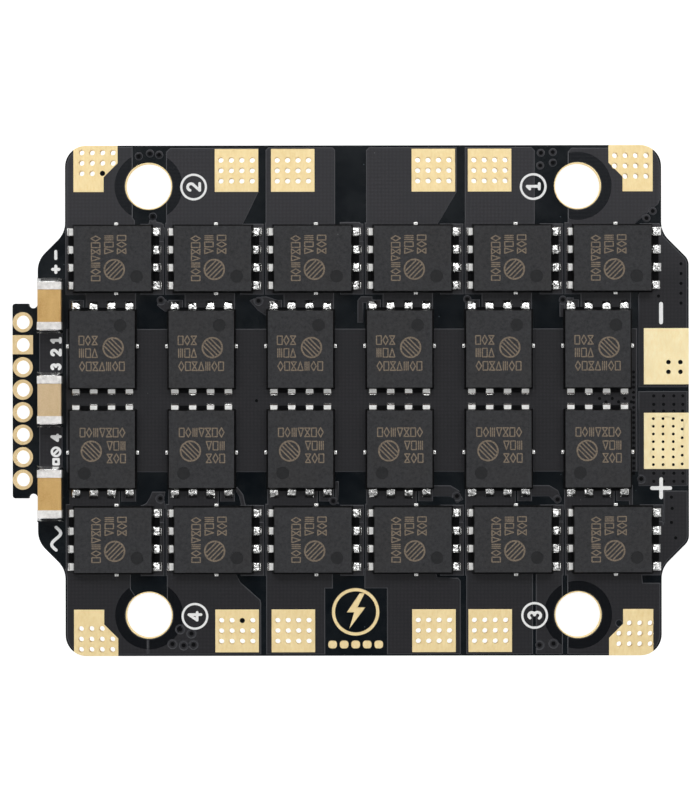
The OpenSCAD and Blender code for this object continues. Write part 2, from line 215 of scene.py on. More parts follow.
def lofted(loops):
    """A closed solid through loops of equal length, each counter-clockwise seen from the last one."""
    count, last = len(loops[0]), len(loops) - 1
    faces = [face for k in range(last) for face in band(k, k + 1, count)]
    faces += [tuple(range(count))[::-1], tuple(range(last * count, (last + 1) * count))]
    return [v for loop in loops for v in loop], faces


def tube(cx, cy, outer, inner, low, high, sides):
    """An open-ended round tube with a wall."""
    edges = ((outer, low), (outer, high), (inner, high), (inner, low))
    verts = [(x, y, z) for r, z in edges for x, y in circle(cx, cy, r, sides)]
    return verts, [face for k in range(4) for face in band(k, (k + 1) % 4, sides)]


def rounded_rect(x0, y0, x1, y1, r, steps=3):
    """An outline with round corners, counter-clockwise from the lower right."""
    corners = ((x1 - r, y0 + r, -90), (x1 - r, y1 - r, 0), (x0 + r, y1 - r, 90), (x0 + r, y0 + r, 180))
    return [point for x, y, start in corners for point in arc(x, y, r, start, start + 90, steps)]


def mound(xs, ys, rise_at, least, skew=0.0):
    """A closed heap over a grid of places: its rim lies on the board, and rise_at(x, y) is its height."""
    rows, columns = len(xs), len(ys)
    verts = []
    for i, x in enumerate(xs):
        for j, y in enumerate(ys):
            rise = rise_at(x, y)
            edge = i in (0, rows - 1) or j in (0, columns - 1)
            verts.append((x + skew * (x > 0), y, 0.0 if edge else max(least, rise)))
    corners = [i * columns + j for i in range(rows - 1) for j in range(columns - 1)]
    faces = [(a, a + columns, a + columns + 1, a + 1) for a in corners]
    rim = list(range(columns)) + [i * columns + columns - 1 for i in range(1, rows)]
    rim += [(rows - 1) * columns + j for j in range(columns - 2, -1, -1)]
    rim += [i * columns for i in range(rows - 2, 0, -1)]
    return verts, [*faces, tuple(rim)]


def piece(name, part, material, smooth=False):
    """Makes one visible piece from a solid in millimetres, and rides it on the board."""
    mesh = bpy.data.meshes.new(name)
    mesh.from_pydata([(x * MM, y * MM, z * MM) for x, y, z in part[0]], [], part[1])
    mesh.validate()
    made = bpy.data.objects.new(name, mesh)
    bpy.context.scene.collection.objects.link(made)
    mesh.materials.append(material)
    mesh.polygons.foreach_set("use_smooth", [smooth] * len(mesh.polygons))
    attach(made, "root")


def make_flat_faces():
    """A modifier's node group that shades every face flat."""
    group = bpy.data.node_groups.new("flat_faces", "GeometryNodeTree")
    for way in ("INPUT", "OUTPUT"):
        group.interface.new_socket("Geometry", in_out=way, socket_type="NodeSocketGeometry")
    kinds = ("NodeGroupInput", "GeometryNodeRemoveAttribute", "GeometryNodeSetShadeSmooth", "NodeGroupOutput")
    start, drop, flat, stop = (group.nodes.new(kind) for kind in kinds)
    drop.inputs["Name"].default_value = "custom_normal"
    flat.inputs["Shade Smooth"].default_value = False
    for source, target in ((start, drop), (drop, flat), (flat, stop)):
        group.links.new(source.outputs[0], target.inputs[0])
    return group


FLAT_FACES = make_flat_faces()
WELD_GAP = 0.0005 * MM


def soften(thing, width):
    """Rounds an object's sharp edges with modifiers, leaving its own mesh as it is."""
    thing.modifiers.new("weld", "WELD").merge_threshold = WELD_GAP
    bevel = thing.modifiers.new("bevel", "BEVEL")
    bevel.width = width * MM
    bevel.segments = 2
    bevel.limit_method = "ANGLE"
    bevel.angle_limit = math.radians(35)
    bevel.use_clamp_overlap = True
    thing.modifiers.new("flat", "NODES").node_group = FLAT_FACES


def islands(node):
    """Boxes, in millimetres, of the separate solids of one CAD node."""
    mesh = bmesh.new()
    mesh.from_mesh(nodes[node].data)
    bmesh.ops.remove_doubles(mesh, verts=mesh.verts, dist=WELD_GAP)
    mesh.verts.ensure_lookup_table()
    seen, boxes = set(), []
    for start in mesh.verts:
        if start.index in seen:
            continue
        seen.add(start.index)
        group, queue = [], [start]
        while queue:
            v = queue.pop()
            group.append(v.co / MM)
            for edge in v.link_edges:
                other = edge.other_vert(v)
                if other.index not in seen:
                    seen.add(other.index)
                    queue.append(other)
        low = Vector([min(p[k] for p in group) for k in range(3)])
        high = Vector([max(p[k] for p in group) for k in range(3)])
        boxes.append((low, high))
    mesh.free()
    return sorted(boxes, key=lambda b: (round(b[0].x, 3), round(b[0].y, 3), round(b[0].z, 3)))


# -------- materials


def grey(level):
    return (level, level, level)


def dimmed(share, colour):
    return tuple(share * c for c in colour)


class Shader:
    """A material's node tree, with short ways to add nodes to it."""

    def __init__(self, name, **values):
        self.material = bpy.data.materials.new(name)
        self.material.use_nodes = True
        self.tree = self.material.node_tree
        self.tree.nodes.clear()
        out = self.node("OutputMaterial")
        self.surface = self.node("BsdfPrincipled", **values)
        self.link(self.surface.outputs[0], out, "Surface")
        self.place = self.node("TexCoord").outputs["Object"]

    def node(self, kind, **values):
        made = self.tree.nodes.new("ShaderNode" + kind)
        for key, value in values.items():
            made.inputs[key.replace("_", " ")].default_value = value
        return made

    def link(self, source, target, socket):
        self.tree.links.new(source, target.inputs[socket])

    def fed(self, kind, source, socket="Vector", **values):
        """The outputs of a new node that takes a source in one of its sockets."""
        made = self.node(kind, **values)
        self.link(source, made, socket)
        return made.outputs

    def stretch(self, x, y, z):
        """The object's coordinates, scaled along each axis."""
        return self.fed("Mapping", self.place, Scale=(x, y, z))[0]

    def axes(self, source=None):
        """The separate coordinates of the object, or of another vector."""
        return self.fed("SeparateXYZ", source or self.place)

    def noise(self, per_mm, detail=3.0, rough=0.5, at=None):
        values = {"Scale": per_mm / MM, "Detail": detail, "Roughness": rough}
        return self.fed("TexNoise", at or self.place, **values)["Fac"]

    def layers(self, pitch):
        """Waves from -1 to 1 along the height, pitch millimetres apart."""
        return self.math("SINE", self.math("MULTIPLY", self.axes()["Z"], 2 * math.pi / (pitch * MM)))

    def ramp(self, value, low, high, start=0.3, stop=0.7):
        """A colour that turns from low to high between two positions of a value."""
        made = self.node("ValToRGB")
        self.link(value, made, "Fac")
        for element, position, colour in zip(made.color_ramp.elements, (start, stop), (low, high)):
            element.position = position
            element.color = (*colour, 1.0)
        return made.outputs["Color"]

    def span(self, value, low, high, from_low=0.0, from_high=1.0):
        """A value whose range is mapped to another."""
        ranges = {"From_Min": from_low, "From_Max": from_high, "To_Min": low, "To_Max": high}
        return self.fed("MapRange", value, "Value", **ranges)[0]

    def math(self, operation, *values):
        made = self.node("Math")
        made.operation = operation
        for k, value in enumerate(values):
            if isinstance(value, (int, float)):
                made.inputs[k].default_value = value
            else:
                self.link(value, made, k)
        return made.outputs[0]

    def mix(self, share, a, b):
        made = self.node("Mix")
        made.data_type = "RGBA"
        for k, value in ((0, share), (6, a), (7, b)):
            if isinstance(value, (int, float)):
                made.inputs[k].default_value = value
            elif isinstance(value, tuple):
                made.inputs[k].default_value = (*value, 1.0)
            else:
                self.link(value, made, k)
        return made.outputs[2]

    def bump(self, height, strength, depth):
        """Relief whose full height is depth millimetres; each call adds to the last."""
        made = self.node("Bump", Strength=strength, Distance=depth * MM)
        self.link(height, made, "Height")
        normal = self.surface.inputs["Normal"]
        if normal.is_linked:
            self.link(normal.links[0].from_socket, made, "Normal")
        self.link(made.outputs[0], self.surface, "Normal")

    def colour(self, value):
        self.link(value, self.surface, "Base Color")

    def roughness(self, value):
        self.link(value, self.surface, "Roughness")

    def sheen(self, value):
        self.link(value, self.surface, "Specular IOR Level")


def weave_wave(s, axis):
    """Smooth ridges across one axis, as far apart as the yarns of the glass weave."""
    made = s.node("TexWave", Scale=math.pi / 10 / (WEAVE_PITCH * MM), Distortion=0.4)
    made.wave_type = "BANDS"
    made.bands_direction = axis
    s.link(s.place, made, "Vector")
    return made.outputs["Fac"]


def dusted(s, base, per_mm, size, chance, share, colour):
    """A colour with scattered dots: size is their share of a cell, and chance how many cells hold one."""
    cells = s.fed("TexVoronoi", s.place, Scale=per_mm / MM)
    near = s.math("LESS_THAN", cells["Distance"], size)
    some = s.math("LESS_THAN", s.fed("SeparateColor", cells["Color"], "Color")[0], chance)
    return s.mix(s.math("MULTIPLY", s.math("MULTIPLY", near, some), share), base, colour)


def facing_up(s, least=0.6):
    """1 on faces that look up or down, 0 on faces that lean more than least allows."""
    normal = s.node("NewGeometry").outputs["True Normal"]
    return s.math("GREATER_THAN", s.math("ABSOLUTE", s.axes(normal)["Z"]), least)


def make_laminate():
    """Glossy solder mask over bare glass laminate; the routed edges show the glass layers."""
    s = Shader("laminate_mask", Roughness=0.16, IOR=1.5)
    cloud = s.noise(0.35, 4.0, 0.6)
    mask = s.ramp(cloud, (0.0018, 0.0036, 0.0056), (0.0038, 0.0064, 0.0088))
    mask = dusted(s, mask, 1.5, 0.055, 0.12, 0.5, (0.12, 0.15, 0.17))
    fibres = s.noise(9.0, 2.0, 0.5, s.stretch(1, 1, 0.15))
    edge = s.mix(fibres, (0.012, 0.011, 0.010), (0.045, 0.040, 0.030))
    edge = s.mix(s.span(s.layers(0.2), 0.0, 0.45, -1.0, 1.0), edge, grey(0.006))
    flat = facing_up(s)
    s.colour(s.mix(flat, edge, mask))
    s.roughness(s.mix(flat, grey(0.62), s.ramp(cloud, grey(0.13), grey(0.21))))
    s.bump(s.noise(2.2), 0.25, 0.012)
    s.bump(s.noise(14.0, 2.0), 0.3, 0.004)
    return s.material


def make_pour():
    """Solder mask over copper: greyer, with the glass weave showing through, and with painted light: paler
    towards the +Y edge and darker elsewhere, with a painted highlight on its sloped edges.
    """
    s = Shader("mask_over_copper", Roughness=0.42, IOR=1.5)
    weave = s.math("MULTIPLY", *(s.span(weave_wave(s, axis), 0.35, 1.0) for axis in "YX"))
    grain = s.noise(12.0, 3.0, 0.6)
    tone = s.math("ADD", s.math("MULTIPLY", weave, 0.45), s.math("MULTIPLY", grain, 0.55))
    base = s.ramp(tone, (0.0085, 0.0082, 0.0112), (0.0215, 0.0205, 0.0268), 0.25, 0.75)
    base = s.mix(s.span(s.noise(0.5), 0.0, 0.4, 0.35, 0.7), base, (0.012, 0.014, 0.018))
    place = s.axes()
    across = [s.math("SUBTRACT", s.math("ABSOLUTE", place[axis]), HOLE_HALF * MM) for axis in "XY"]
    away = s.math("SQRT", s.math("ADD", *(s.math("MULTIPLY", value, value) for value in across)))
    near_hole = s.math("LESS_THAN", away, HOLE_KEEPOUT * MM)
    base = s.mix(s.math("MULTIPLY", near_hole, 0.8), base, (0.0050, 0.0068, 0.0090))
    base = dusted(s, base, 1.3, 0.05, 0.08, 0.6, (0.16, 0.16, 0.17))
    # Painted light: away from the +Y edge the pour's colour is darkened and its sheen lowered, and towards
    # that edge it stays paler, as if lit by the key lamp on that side.
    painted_key_light = s.span(place["Y"], 0.0, 1.0, (BOARD_HALF - 9.6) * MM, (BOARD_HALF - 5.6) * MM)
    base = s.mix(painted_key_light, s.mix(0.36, base, grey(0.0)), base)
    s.sheen(s.span(painted_key_light, 0.35, 0.5))
    # Faces that lean, such as the pour's sloped skirts and the via land rims, get a lighter colour: a painted
    # highlight where the raised copper edge catches the light.
    s.colour(s.mix(facing_up(s, 0.995), (0.046, 0.047, 0.053), base))
    rough = s.math("ADD", s.span(grain, 0.25, 0.45), s.span(weave, 0.0, 0.07))
    s.roughness(s.mix(near_hole, rough, grey(0.17)))
    s.bump(weave, 0.3, 0.006)
    s.bump(grain, 0.3, 0.006)
    return s.material


def make_gold(name, low, high):
    """Immersion gold, finely brushed and slightly stained."""
    s = Shader(name, Metallic=1.0, Roughness=0.5)
    grain = s.noise(7.0, 4.0, 0.6, s.stretch(1.0, 0.35, 1.0))
    pale = s.ramp(grain, low, high, 0.25, 0.75)
    s.colour(s.mix(s.span(s.noise(0.9), 0.0, 0.35, 0.45, 0.75), pale, dimmed(0.9, low)))
    s.roughness(s.span(grain, 0.46, 0.60))
    s.bump(grain, 0.35, 0.006)
    s.bump(s.noise(30.0, 2.0), 0.25, 0.002)
    return s.material


def make_tin(name, rough_low, rough_high, tint, relief):
    """Bright or matt tin, patchy and slightly uneven."""
    s = Shader(name, Metallic=1.0, Roughness=rough_low)
    patches = s.noise(5.0, 4.0, 0.6)
    s.colour(s.ramp(patches, dimmed(0.8, tint), tint, 0.25))
    s.roughness(s.span(patches, rough_low, rough_high, 0.3, 0.7))
    s.bump(s.noise(11.0, 3.0, 0.6), 0.4, relief)
    return s.material


def make_moulding(name, shade):
    """Dark filled epoxy with a fine spark-eroded grain and faint hand marks; its side faces are painted
    near-black as painted shade.
    """
    s = Shader(name, Roughness=0.55, IOR=1.5)
    cloud = s.noise(0.28, 4.0, 0.55)
    grain = s.noise(16.0, 3.0, 0.7)
    blotch = s.noise(4.5, 4.0, 0.75)
    dark, light = dimmed(shade, (0.0060, 0.0068, 0.0092)), dimmed(shade, (0.0245, 0.0250, 0.0300))
    base = s.mix(s.span(grain, 0.0, 1.0, 0.3, 0.7), dark, light)
    base = s.mix(s.span(cloud, 0.0, 0.6, 0.45, 0.75), base, dimmed(shade, (0.0155, 0.0135, 0.0130)))
    base = s.mix(s.span(blotch, 0.0, 0.7, 0.35, 0.7), base, dimmed(shade, (0.0035, 0.0040, 0.0055)))
    base = dusted(s, base, 1.1, 0.035, 0.1, 0.5, (0.22, 0.22, 0.23))
    flat = facing_up(s)
    # Side faces get a near-black colour and less sheen: painted shade of the drafted side walls and of the
    # shadow at their foot.
    s.colour(s.mix(flat, (0.0022, 0.0022, 0.0026), base))
    s.sheen(s.span(flat, 0.12, 0.5))
    s.roughness(s.span(blotch, 0.46, 0.78, 0.3, 0.7))
    s.bump(grain, 0.45, 0.007)
    s.bump(cloud, 0.2, 0.02)
    return s.material


def make_ceramic(name, low, high):
    """Fired barium titanate: tan, with a soft gloss and faint layer lines on its sides."""
    s = Shader(name, Roughness=0.38, IOR=1.6, Specular_IOR_Level=0.45)
    grain = s.noise(16.0, 3.0, 0.6)
    base = s.ramp(s.noise(0.8, 3.0, 0.5, s.stretch(1.6, 0.6, 1.0)), low, high)
    base = s.mix(s.span(grain, 0.0, 0.5, 0.4, 0.7), base, tuple(1.05 * c + 0.06 for c in high))
    side = s.math("SUBTRACT", 1.0, facing_up(s))
    share = s.math("MULTIPLY", side, s.span(s.layers(0.07), 0.0, 0.3, -1.0, 1.0))
    s.colour(s.mix(share, base, (0.24, 0.14, 0.055)))
    s.roughness(s.span(grain, 0.3, 0.46))
    s.bump(grain, 0.3, 0.006)
    return s.material


def make_end_cap():
    """Matt plated tin over fired silver."""
    s = Shader("end_cap_tin", Metallic=0.75, Roughness=0.5)
    patches = s.noise(3.0, 4.0, 0.65)
    s.colour(s.ramp(patches, (0.66, 0.64, 0.62), (0.94, 0.92, 0.90), 0.3, 0.65))
    s.roughness(s.span(patches, 0.38, 0.58))
    s.bump(s.noise(10.0, 4.0, 0.6), 0.5, 0.012)
    return s.material


def make_coat(name, low, high, rough, per_mm=10.0, detail=4.0, ior=1.5, sheen=0.5, stop=0.7,
              relief=(0.4, 0.004)):
    """A finely grained coat. Its rough is one roughness, or the lowest and the highest."""
    varies = isinstance(rough, tuple)
    s = Shader(name, Roughness=rough[0] if varies else rough, IOR=ior, Specular_IOR_Level=sheen)
    grain = s.noise(per_mm, detail, 0.6)
    s.colour(s.ramp(grain, low, high, 0.3, stop))
    if varies:
        s.roughness(s.span(grain, *rough))
    s.bump(grain, *relief)
    return s.material


mounts = {m["name"]: m for m in record["mounts"]}
HOLE_HALF = mounts["mounting_holes"]["dims"]["spacing_x_mm"] / 2
HOLE_R = mounts["mounting_holes"]["dims"]["hole_r_mm"]
# The mask stays glossy this far from a mounting hole's middle
HOLE_KEEPOUT = 2.42
WEAVE_PITCH = 0.26

LAMINATE = make_laminate()
POUR = make_pour()
GOLD = make_gold("gold_plate", (0.905, 0.71, 0.36), (0.985, 0.83, 0.505))
BATTERY_GOLD = make_gold("battery_gold", (0.96, 0.79, 0.44), (1.0, 0.90, 0.61))
RING_GOLD = make_gold("ring_gold", (0.72, 0.55, 0.29), (0.85, 0.68, 0.42))
SOLDER = make_tin("solder", 0.10, 0.28, (0.93, 0.93, 0.92), 0.010)
TIN = make_tin("tinned_copper", 0.42, 0.60, (0.95, 0.95, 0.93), 0.006)
MOULDING = make_moulding("moulded_epoxy", 0.86)
CHIP_MOULDING = make_moulding("chip_epoxy", 0.85)
# The polished floor of a pin-one dimple, epoxy burnt pale brown by a laser, and white legend ink
DIMPLE = make_coat("dimple_floor", (0.0050, 0.0054, 0.0066), (0.0095, 0.0099, 0.0115), (0.34, 0.43), 6.0, 3.0,
                   sheen=0.36, relief=(0.3, 0.004))
LASER = make_coat("laser_mark", (0.085, 0.066, 0.050), (0.25, 0.195, 0.14), 0.75, 14.0, 3.0, 1.45)
SILK = make_coat("legend_ink", (0.72, 0.73, 0.73), (0.88, 0.88, 0.87), 0.6, 18.0, 3.0, 1.45, stop=0.6,
                 relief=(0.4, 0.006))
CERAMIC = make_ceramic("capacitor_ceramic", (0.50, 0.285, 0.075), (0.62, 0.39, 0.13))
PALE_CERAMIC = make_ceramic("pale_ceramic", (0.54, 0.385, 0.20), (0.64, 0.47, 0.275))
END_CAP = make_end_cap()
RESISTOR = make_coat("resistor_glaze", (0.008, 0.008, 0.010), (0.018, 0.018, 0.020), (0.22, 0.4))
FERRITE = make_coat("ferrite", (0.035, 0.035, 0.038), (0.065, 0.064, 0.066), (0.62, 0.8), relief=(0.4, 0.012))
COPPER = make_coat("bare_copper", (0.040, 0.022, 0.014), (0.090, 0.055, 0.038), (0.42, 0.6))
# Near-black plug ink for the via plugs and dots, also used as painted shade in the gaps between package leads
PLUG_INK_AND_GAP_SHADE = make_coat("via_plug", (0.0012, 0.0014, 0.0018), (0.0032, 0.0034, 0.0042), (0.22, 0.4), sheen=0.08)

# -------- finishes of the CAD nodes

FINISHES = {
    "circuit_board": (LAMINATE, 0.03),
    "motor_pads": (GOLD, 0.012),
    "battery_pad": (BATTERY_GOLD, 0.012),
    "signal_hole_rings": (RING_GOLD, 0.012),
    "mounting_hole_plating": (GOLD, 0.015),
    "low_side_mosfet": (MOULDING, 0.035),
    "high_side_mosfet": (MOULDING, 0.035),
    "lead_frames": (TIN, 0.03),
    "bypass_capacitor_ends": (END_CAP, 0.07),
    "bulk_capacitor_ends": (END_CAP, 0.07),
    "bypass_capacitor": (CERAMIC, 0.09),
    "bypass_capacitor_2": (PALE_CERAMIC, 0.09),
    "bulk_capacitors": (CERAMIC, 0.05),
    "microcontroller": (CHIP_MOULDING, 0.02),
    "gate_driver": (CHIP_MOULDING, 0.02),
    "current_sense_amplifier": (CHIP_MOULDING, 0.025),
    "logic_regulator": (CHIP_MOULDING, 0.025),
    "gate_supply_regulator": (CHIP_MOULDING, 0.025),
    "gate_supply_inductor": (FERRITE, 0.12),
    "leadless_contacts": (TIN, 0.01),
    "regulator_leads": (TIN, 0.015),
    "shunt_terminals": (TIN, 0.03),
    "shunt_resistor": (RESISTOR, 0.03),
    "chip_resistors": (RESISTOR, 0.02),
    "chip_capacitors": (CERAMIC, 0.03),
    "chip_terminals": (END_CAP, 0.03),
}

for name, thing in nodes.items():
    family = max((key for key in FINISHES if name.startswith(key)), key=len)
    finish, width = FINISHES[family]
    thing.data.materials.clear()
    thing.data.materials.append(finish)
    soften(thing, width)

# -------- places, from the CAD model and its record

CHANNELS = (1, 2, 3, 4)
PHASES = "abc"
LEAD_PITCH = 1.27
package_low, package_high = node_box("low_side_mosfet_1a")
HALF_LENGTH = (package_high.x - package_low.x) / 2
PACKAGE_TOP = package_high.z
# A lead reaches LEAD_TIP out of the moulding
LEAD_TIP = 3.15 - HALF_LENGTH
LEAD_HEIGHT = 0.25
HALF_LEAD = 0.25


def package(kind, channel, phase):
    """Middle of a transistor, and the quarter turns of its source side from +X."""
    low, high = node_box(f"{kind}_mosfet_{channel}{phase}")
    turns = 0 if kind == "low_side" else (1 if channel <= 2 else 3)
    return (low.x + high.x) / 2, (low.y + high.y) / 2, turns


LOW_SIDE = [package("low_side", c, p) for c in CHANNELS for p in PHASES]
HIGH_SIDE = [package("high_side", c, p) for c in CHANNELS for p in PHASES]
LOW_X = sorted({round(x, 3) for x, y, turns in LOW_SIDE})
HIGH_X = sorted({round(x, 3) for x, y, turns in HIGH_SIDE})
LOW_ROW = {1: max(y for x, y, turns in LOW_SIDE), -1: min(y for x, y, turns in LOW_SIDE)}
HIGH_ROW = {1: max(y for x, y, turns in HIGH_SIDE), -1: min(y for x, y, turns in HIGH_SIDE)}

HOLES = [(sx * HOLE_HALF, sy * HOLE_HALF) for sx in (-1, 1) for sy in (-1, 1)]
SIGNAL_HOLES = [tuple(v / MM for v in mounts[f"signal_hole_{i}"]["pos_m"][:2]) for i in range(1, 9)]
SIGNAL_R = mounts["signal_hole_1"]["dims"]["r_mm"]
PLUS_LOW, PLUS_HIGH = node_box("battery_pad_positive")
MINUS_LOW, MINUS_HIGH = node_box("battery_pad_negative")

# -------- holes and vias

STITCH_R = 0.22
STITCH_PITCH = 0.74
# How far each channel's drilled grid sits outwards from the middle of its corner pad
CORNER_DRILL = {1: (0.07, -0.19), 2: (-0.05, 0.05), 3: (0.33, -0.27), 4: (0.03, 0.08)}


def signs_of(channel):
    """Which way the board's corner lies for a channel, in x and in y."""
    return (1 if channel % 2 else -1), (1 if channel <= 2 else -1)


def motor_face(channel, phase):
    """Middle of a motor pad."""
    x, y = (v / MM for v in mounts[f"motor_{channel}{phase}_face"]["pos_m"][:2])
    return x, y


def stitch(channel, phase, i, j):
    """Place of one stitching hole, i steps outwards in x and j steps outwards in y."""
    sx, sy = signs_of(channel)
    x, y = motor_face(channel, phase)
    if abs(x) > HOLE_HALF:
        x += sx * CORNER_DRILL[channel][0]
        y += sy * CORNER_DRILL[channel][1]
    return x + sx * i * STITCH_PITCH, y + sy * j * STITCH_PITCH


def stitch_places():
    """Middles of the open holes in the twelve motor pads; a corner pad's cut takes the first one."""
    found = []
    for channel in CHANNELS:
        for phase in PHASES:
            corner = abs(motor_face(channel, phase)[0]) > HOLE_HALF
            for i in (-1.5, -0.5, 0.5, 1.5):
                for j in (-1, 0, 1):
                    if not corner or i > -1.5 or j > -1:
                        found.append(stitch(channel, phase, i, j))
    return found


STITCHES = stitch_places()
BLOCKED_STITCHES = [(*stitch(2, "a", -0.5, -1), 0.2), (*stitch(4, "b", -0.5, -1), 0.18)]

# Blocked vias of the battery pads, measured from the pads' inner corners: middle and radius
COARSE_PLUG_R, FINE_PLUG_R = 0.165, 0.105
PLUGS = [(MINUS_LOW.x + dx, MINUS_LOW.y + dy, COARSE_PLUG_R) for dx in (1.75, 2.6) for dy in (0.89, 1.58)]
for dx in (0.67, 1.36, 2.09):
    PLUGS += [(PLUS_LOW.x + dx, PLUS_HIGH.y - 0.42 - 0.545 * i, FINE_PLUG_R) for i in range(7)]
PLUGS += [(PLUS_LOW.x + 2.72, PLUS_HIGH.y - 0.54 - 0.62 * i, FINE_PLUG_R) for i in range(6)]
PLUGS += BLOCKED_STITCHES

# -------- copper under the solder mask

POUR_RISE = 0.035
HOLE_MARGIN = 0.14
PLUG_MARGIN = 0.04
VIA_GAP_R, VIA_LAND_R, VIA_R, SMALL_VIA_R = 0.36, 0.24, 0.145, 0.115
POUR_SKIRT = 0.06
EDGE_GAP = 0.16
EDGE_X = WING_HALF - EDGE_GAP
EDGE_Y = BOARD_HALF - EDGE_GAP
# The straight sides beyond the wings end at END_HALF, and the wings start to narrow at KNEE_Y
END_HALF = HOLE_HALF + 5.95
KNEE_Y = LOW_ROW[1] - 0.1


def board_outline(inset):
    """The board's edge moved inwards, without the signal tab."""
    slope = math.tan(math.radians(22.5))
    waist_y = KNEE_Y + WING_HALF - END_HALF

    def corner(knee_r):
        points = arc(WING_HALF - knee_r, KNEE_Y - knee_r * slope, knee_r - inset, 0, 45, 4)
        points += arc(END_HALF + 1.75, waist_y + 1.75 * slope, 1.75 + inset, 225, 180, 4)
        return points + arc(END_HALF - 1.5, BOARD_HALF - 1.5, 1.5 - inset, 0, 90, 8)

    right = corner(0.9)
    left = [(-x, y) for x, y in corner(1.75)][::-1]
    upper = right + left
    return upper + [(x, -y) for x, y in upper][::-1]


def beside(kind, side, index, points):
    """Points measured from the middle of one package, with y outwards from the board's middle line."""
    row = LOW_ROW[side] if kind == "low" else HIGH_ROW[side]
    column = LOW_X[index] if kind == "low" else HIGH_X[index]
    moved = [(column + dx, row + side * dy) for dx, dy in points]
    return moved if side > 0 else moved[::-1]


def lead_gaps(places, source_reach, drain_reach):
    """Squares between the leads of packages, on their source and drain sides: bare gaps in the copper,
    painted near-black as painted shade between the leads.
    """
    squares = []
    for x, y, turns in places:
        for over, reach in ((0, source_reach), (2, drain_reach)):
            for step in (-1, 0, 1):
                square = rounded_rect(HALF_LENGTH - 0.1, -0.31, HALF_LENGTH + reach, 0.31, 0.06)
                square = turned(turned(square, 0, 0, step * LEAD_PITCH), over)
                squares.append(turned(square, turns, x, y))
    return squares


def lead_copper(side):
    """Copper at the leads of one outer row, and at the outward leads of the inner row next to it."""
    shapes = []
    for i in range(6):
        for shape in (rect(-3.33, -2.5, -2.0, 2.5), rect(2.0, -2.5, 3.56, 1.22), rect(2.0, 1.36, 3.56, 2.42)):
            shapes.append(turned(shape, 0, LOW_X[i], LOW_ROW[side]))
        gate = -side
        for near, far, top in ((gate * 1.14, -gate * 2.32, 4.2), (gate * 1.38, gate * 2.3, 3.57)):
            shape = rect(min(near, far), 2.4, max(near, far), top - 0.1 * side)
            shapes.append(beside("high", side, i, shape))
    return shapes


# Copper from the outer packages to their motor pads: side, package and points measured from its middle
FAR = 8.1
END_COPPER = (
    (1, 0, [(-4.2, 1.9), (1.49, 1.9), (1.49, 2.7), (1.34, 2.9), (1.34, FAR), (-4.2, FAR)]),
    (1, 1, [(-3.26, 1.9), (1.84, 1.9), (2.1, 2.5), (3.19, 4.75), (3.19, 7.82), (-3.0, 7.82), (-3.26, 7.57)]),
    (1, 2, [(-3.28, 1.9), (1.54, 1.9), (1.54, 7.7), (1.39, 7.85), (-3.13, 7.85), (-3.28, 7.7)]),
    (1, 3, [(-3.23, 1.9), (1.49, 1.9), (1.77, 2.5), (3.09, 4.75), (3.09, 7.85), (-3.06, 7.85),
            (-3.23, 7.68)]),
    (1, 4, [(-3.31, 1.9), (1.54, 1.9), (1.54, 7.65), (1.34, 7.85), (-3.31, 7.85)]),
    (1, 5, [(-3.09, 1.9), (1.19, 1.9), (1.6, 2.5), (3.24, 3.9), (3.34, 4.2), (3.34, 7.8), (-2.86, 7.8),
            (-3.09, 7.55)]),
    (-1, 0, [(-4.2, 2.1), (1.17, 2.1), (1.17, 3.5), (2.37, 5.3), (2.37, FAR), (-4.2, FAR)]),
    (-1, 1, [(-3.24, 2.1), (1.39, 2.1), (1.89, 3.05), (3.29, 4.3), (3.34, 4.5), (3.34, FAR), (-4.57, FAR),
             (-4.57, 6.6), (-3.24, 5.35)]),
    (-1, 2, [(-3.28, 2.1), (1.34, 2.1), (1.34, 3.4), (0.79, 3.4), (0.79, FAR), (-3.28, FAR)]),
    (-1, 3, [(-3.39, 2.1), (1.49, 2.1), (1.69, 2.72), (3.19, 2.78), (3.33, 2.95), (3.33, FAR), (-1.79, FAR),
             (-1.79, 3.4), (-3.39, 3.4)]),
    (-1, 4, [(-3.25, 2.1), (1.37, 2.1), (1.37, FAR), (-3.25, FAR)]),
    (-1, 4, [(1.7, 2.1), (3.49, 2.1), (3.49, FAR), (1.7, FAR)]),
    (-1, 5, [(-3.16, 2.1), (1.99, 2.1), (2.09, 3.15), (3.34, 3.15), (3.34, FAR), (-3.16, FAR)]),
)
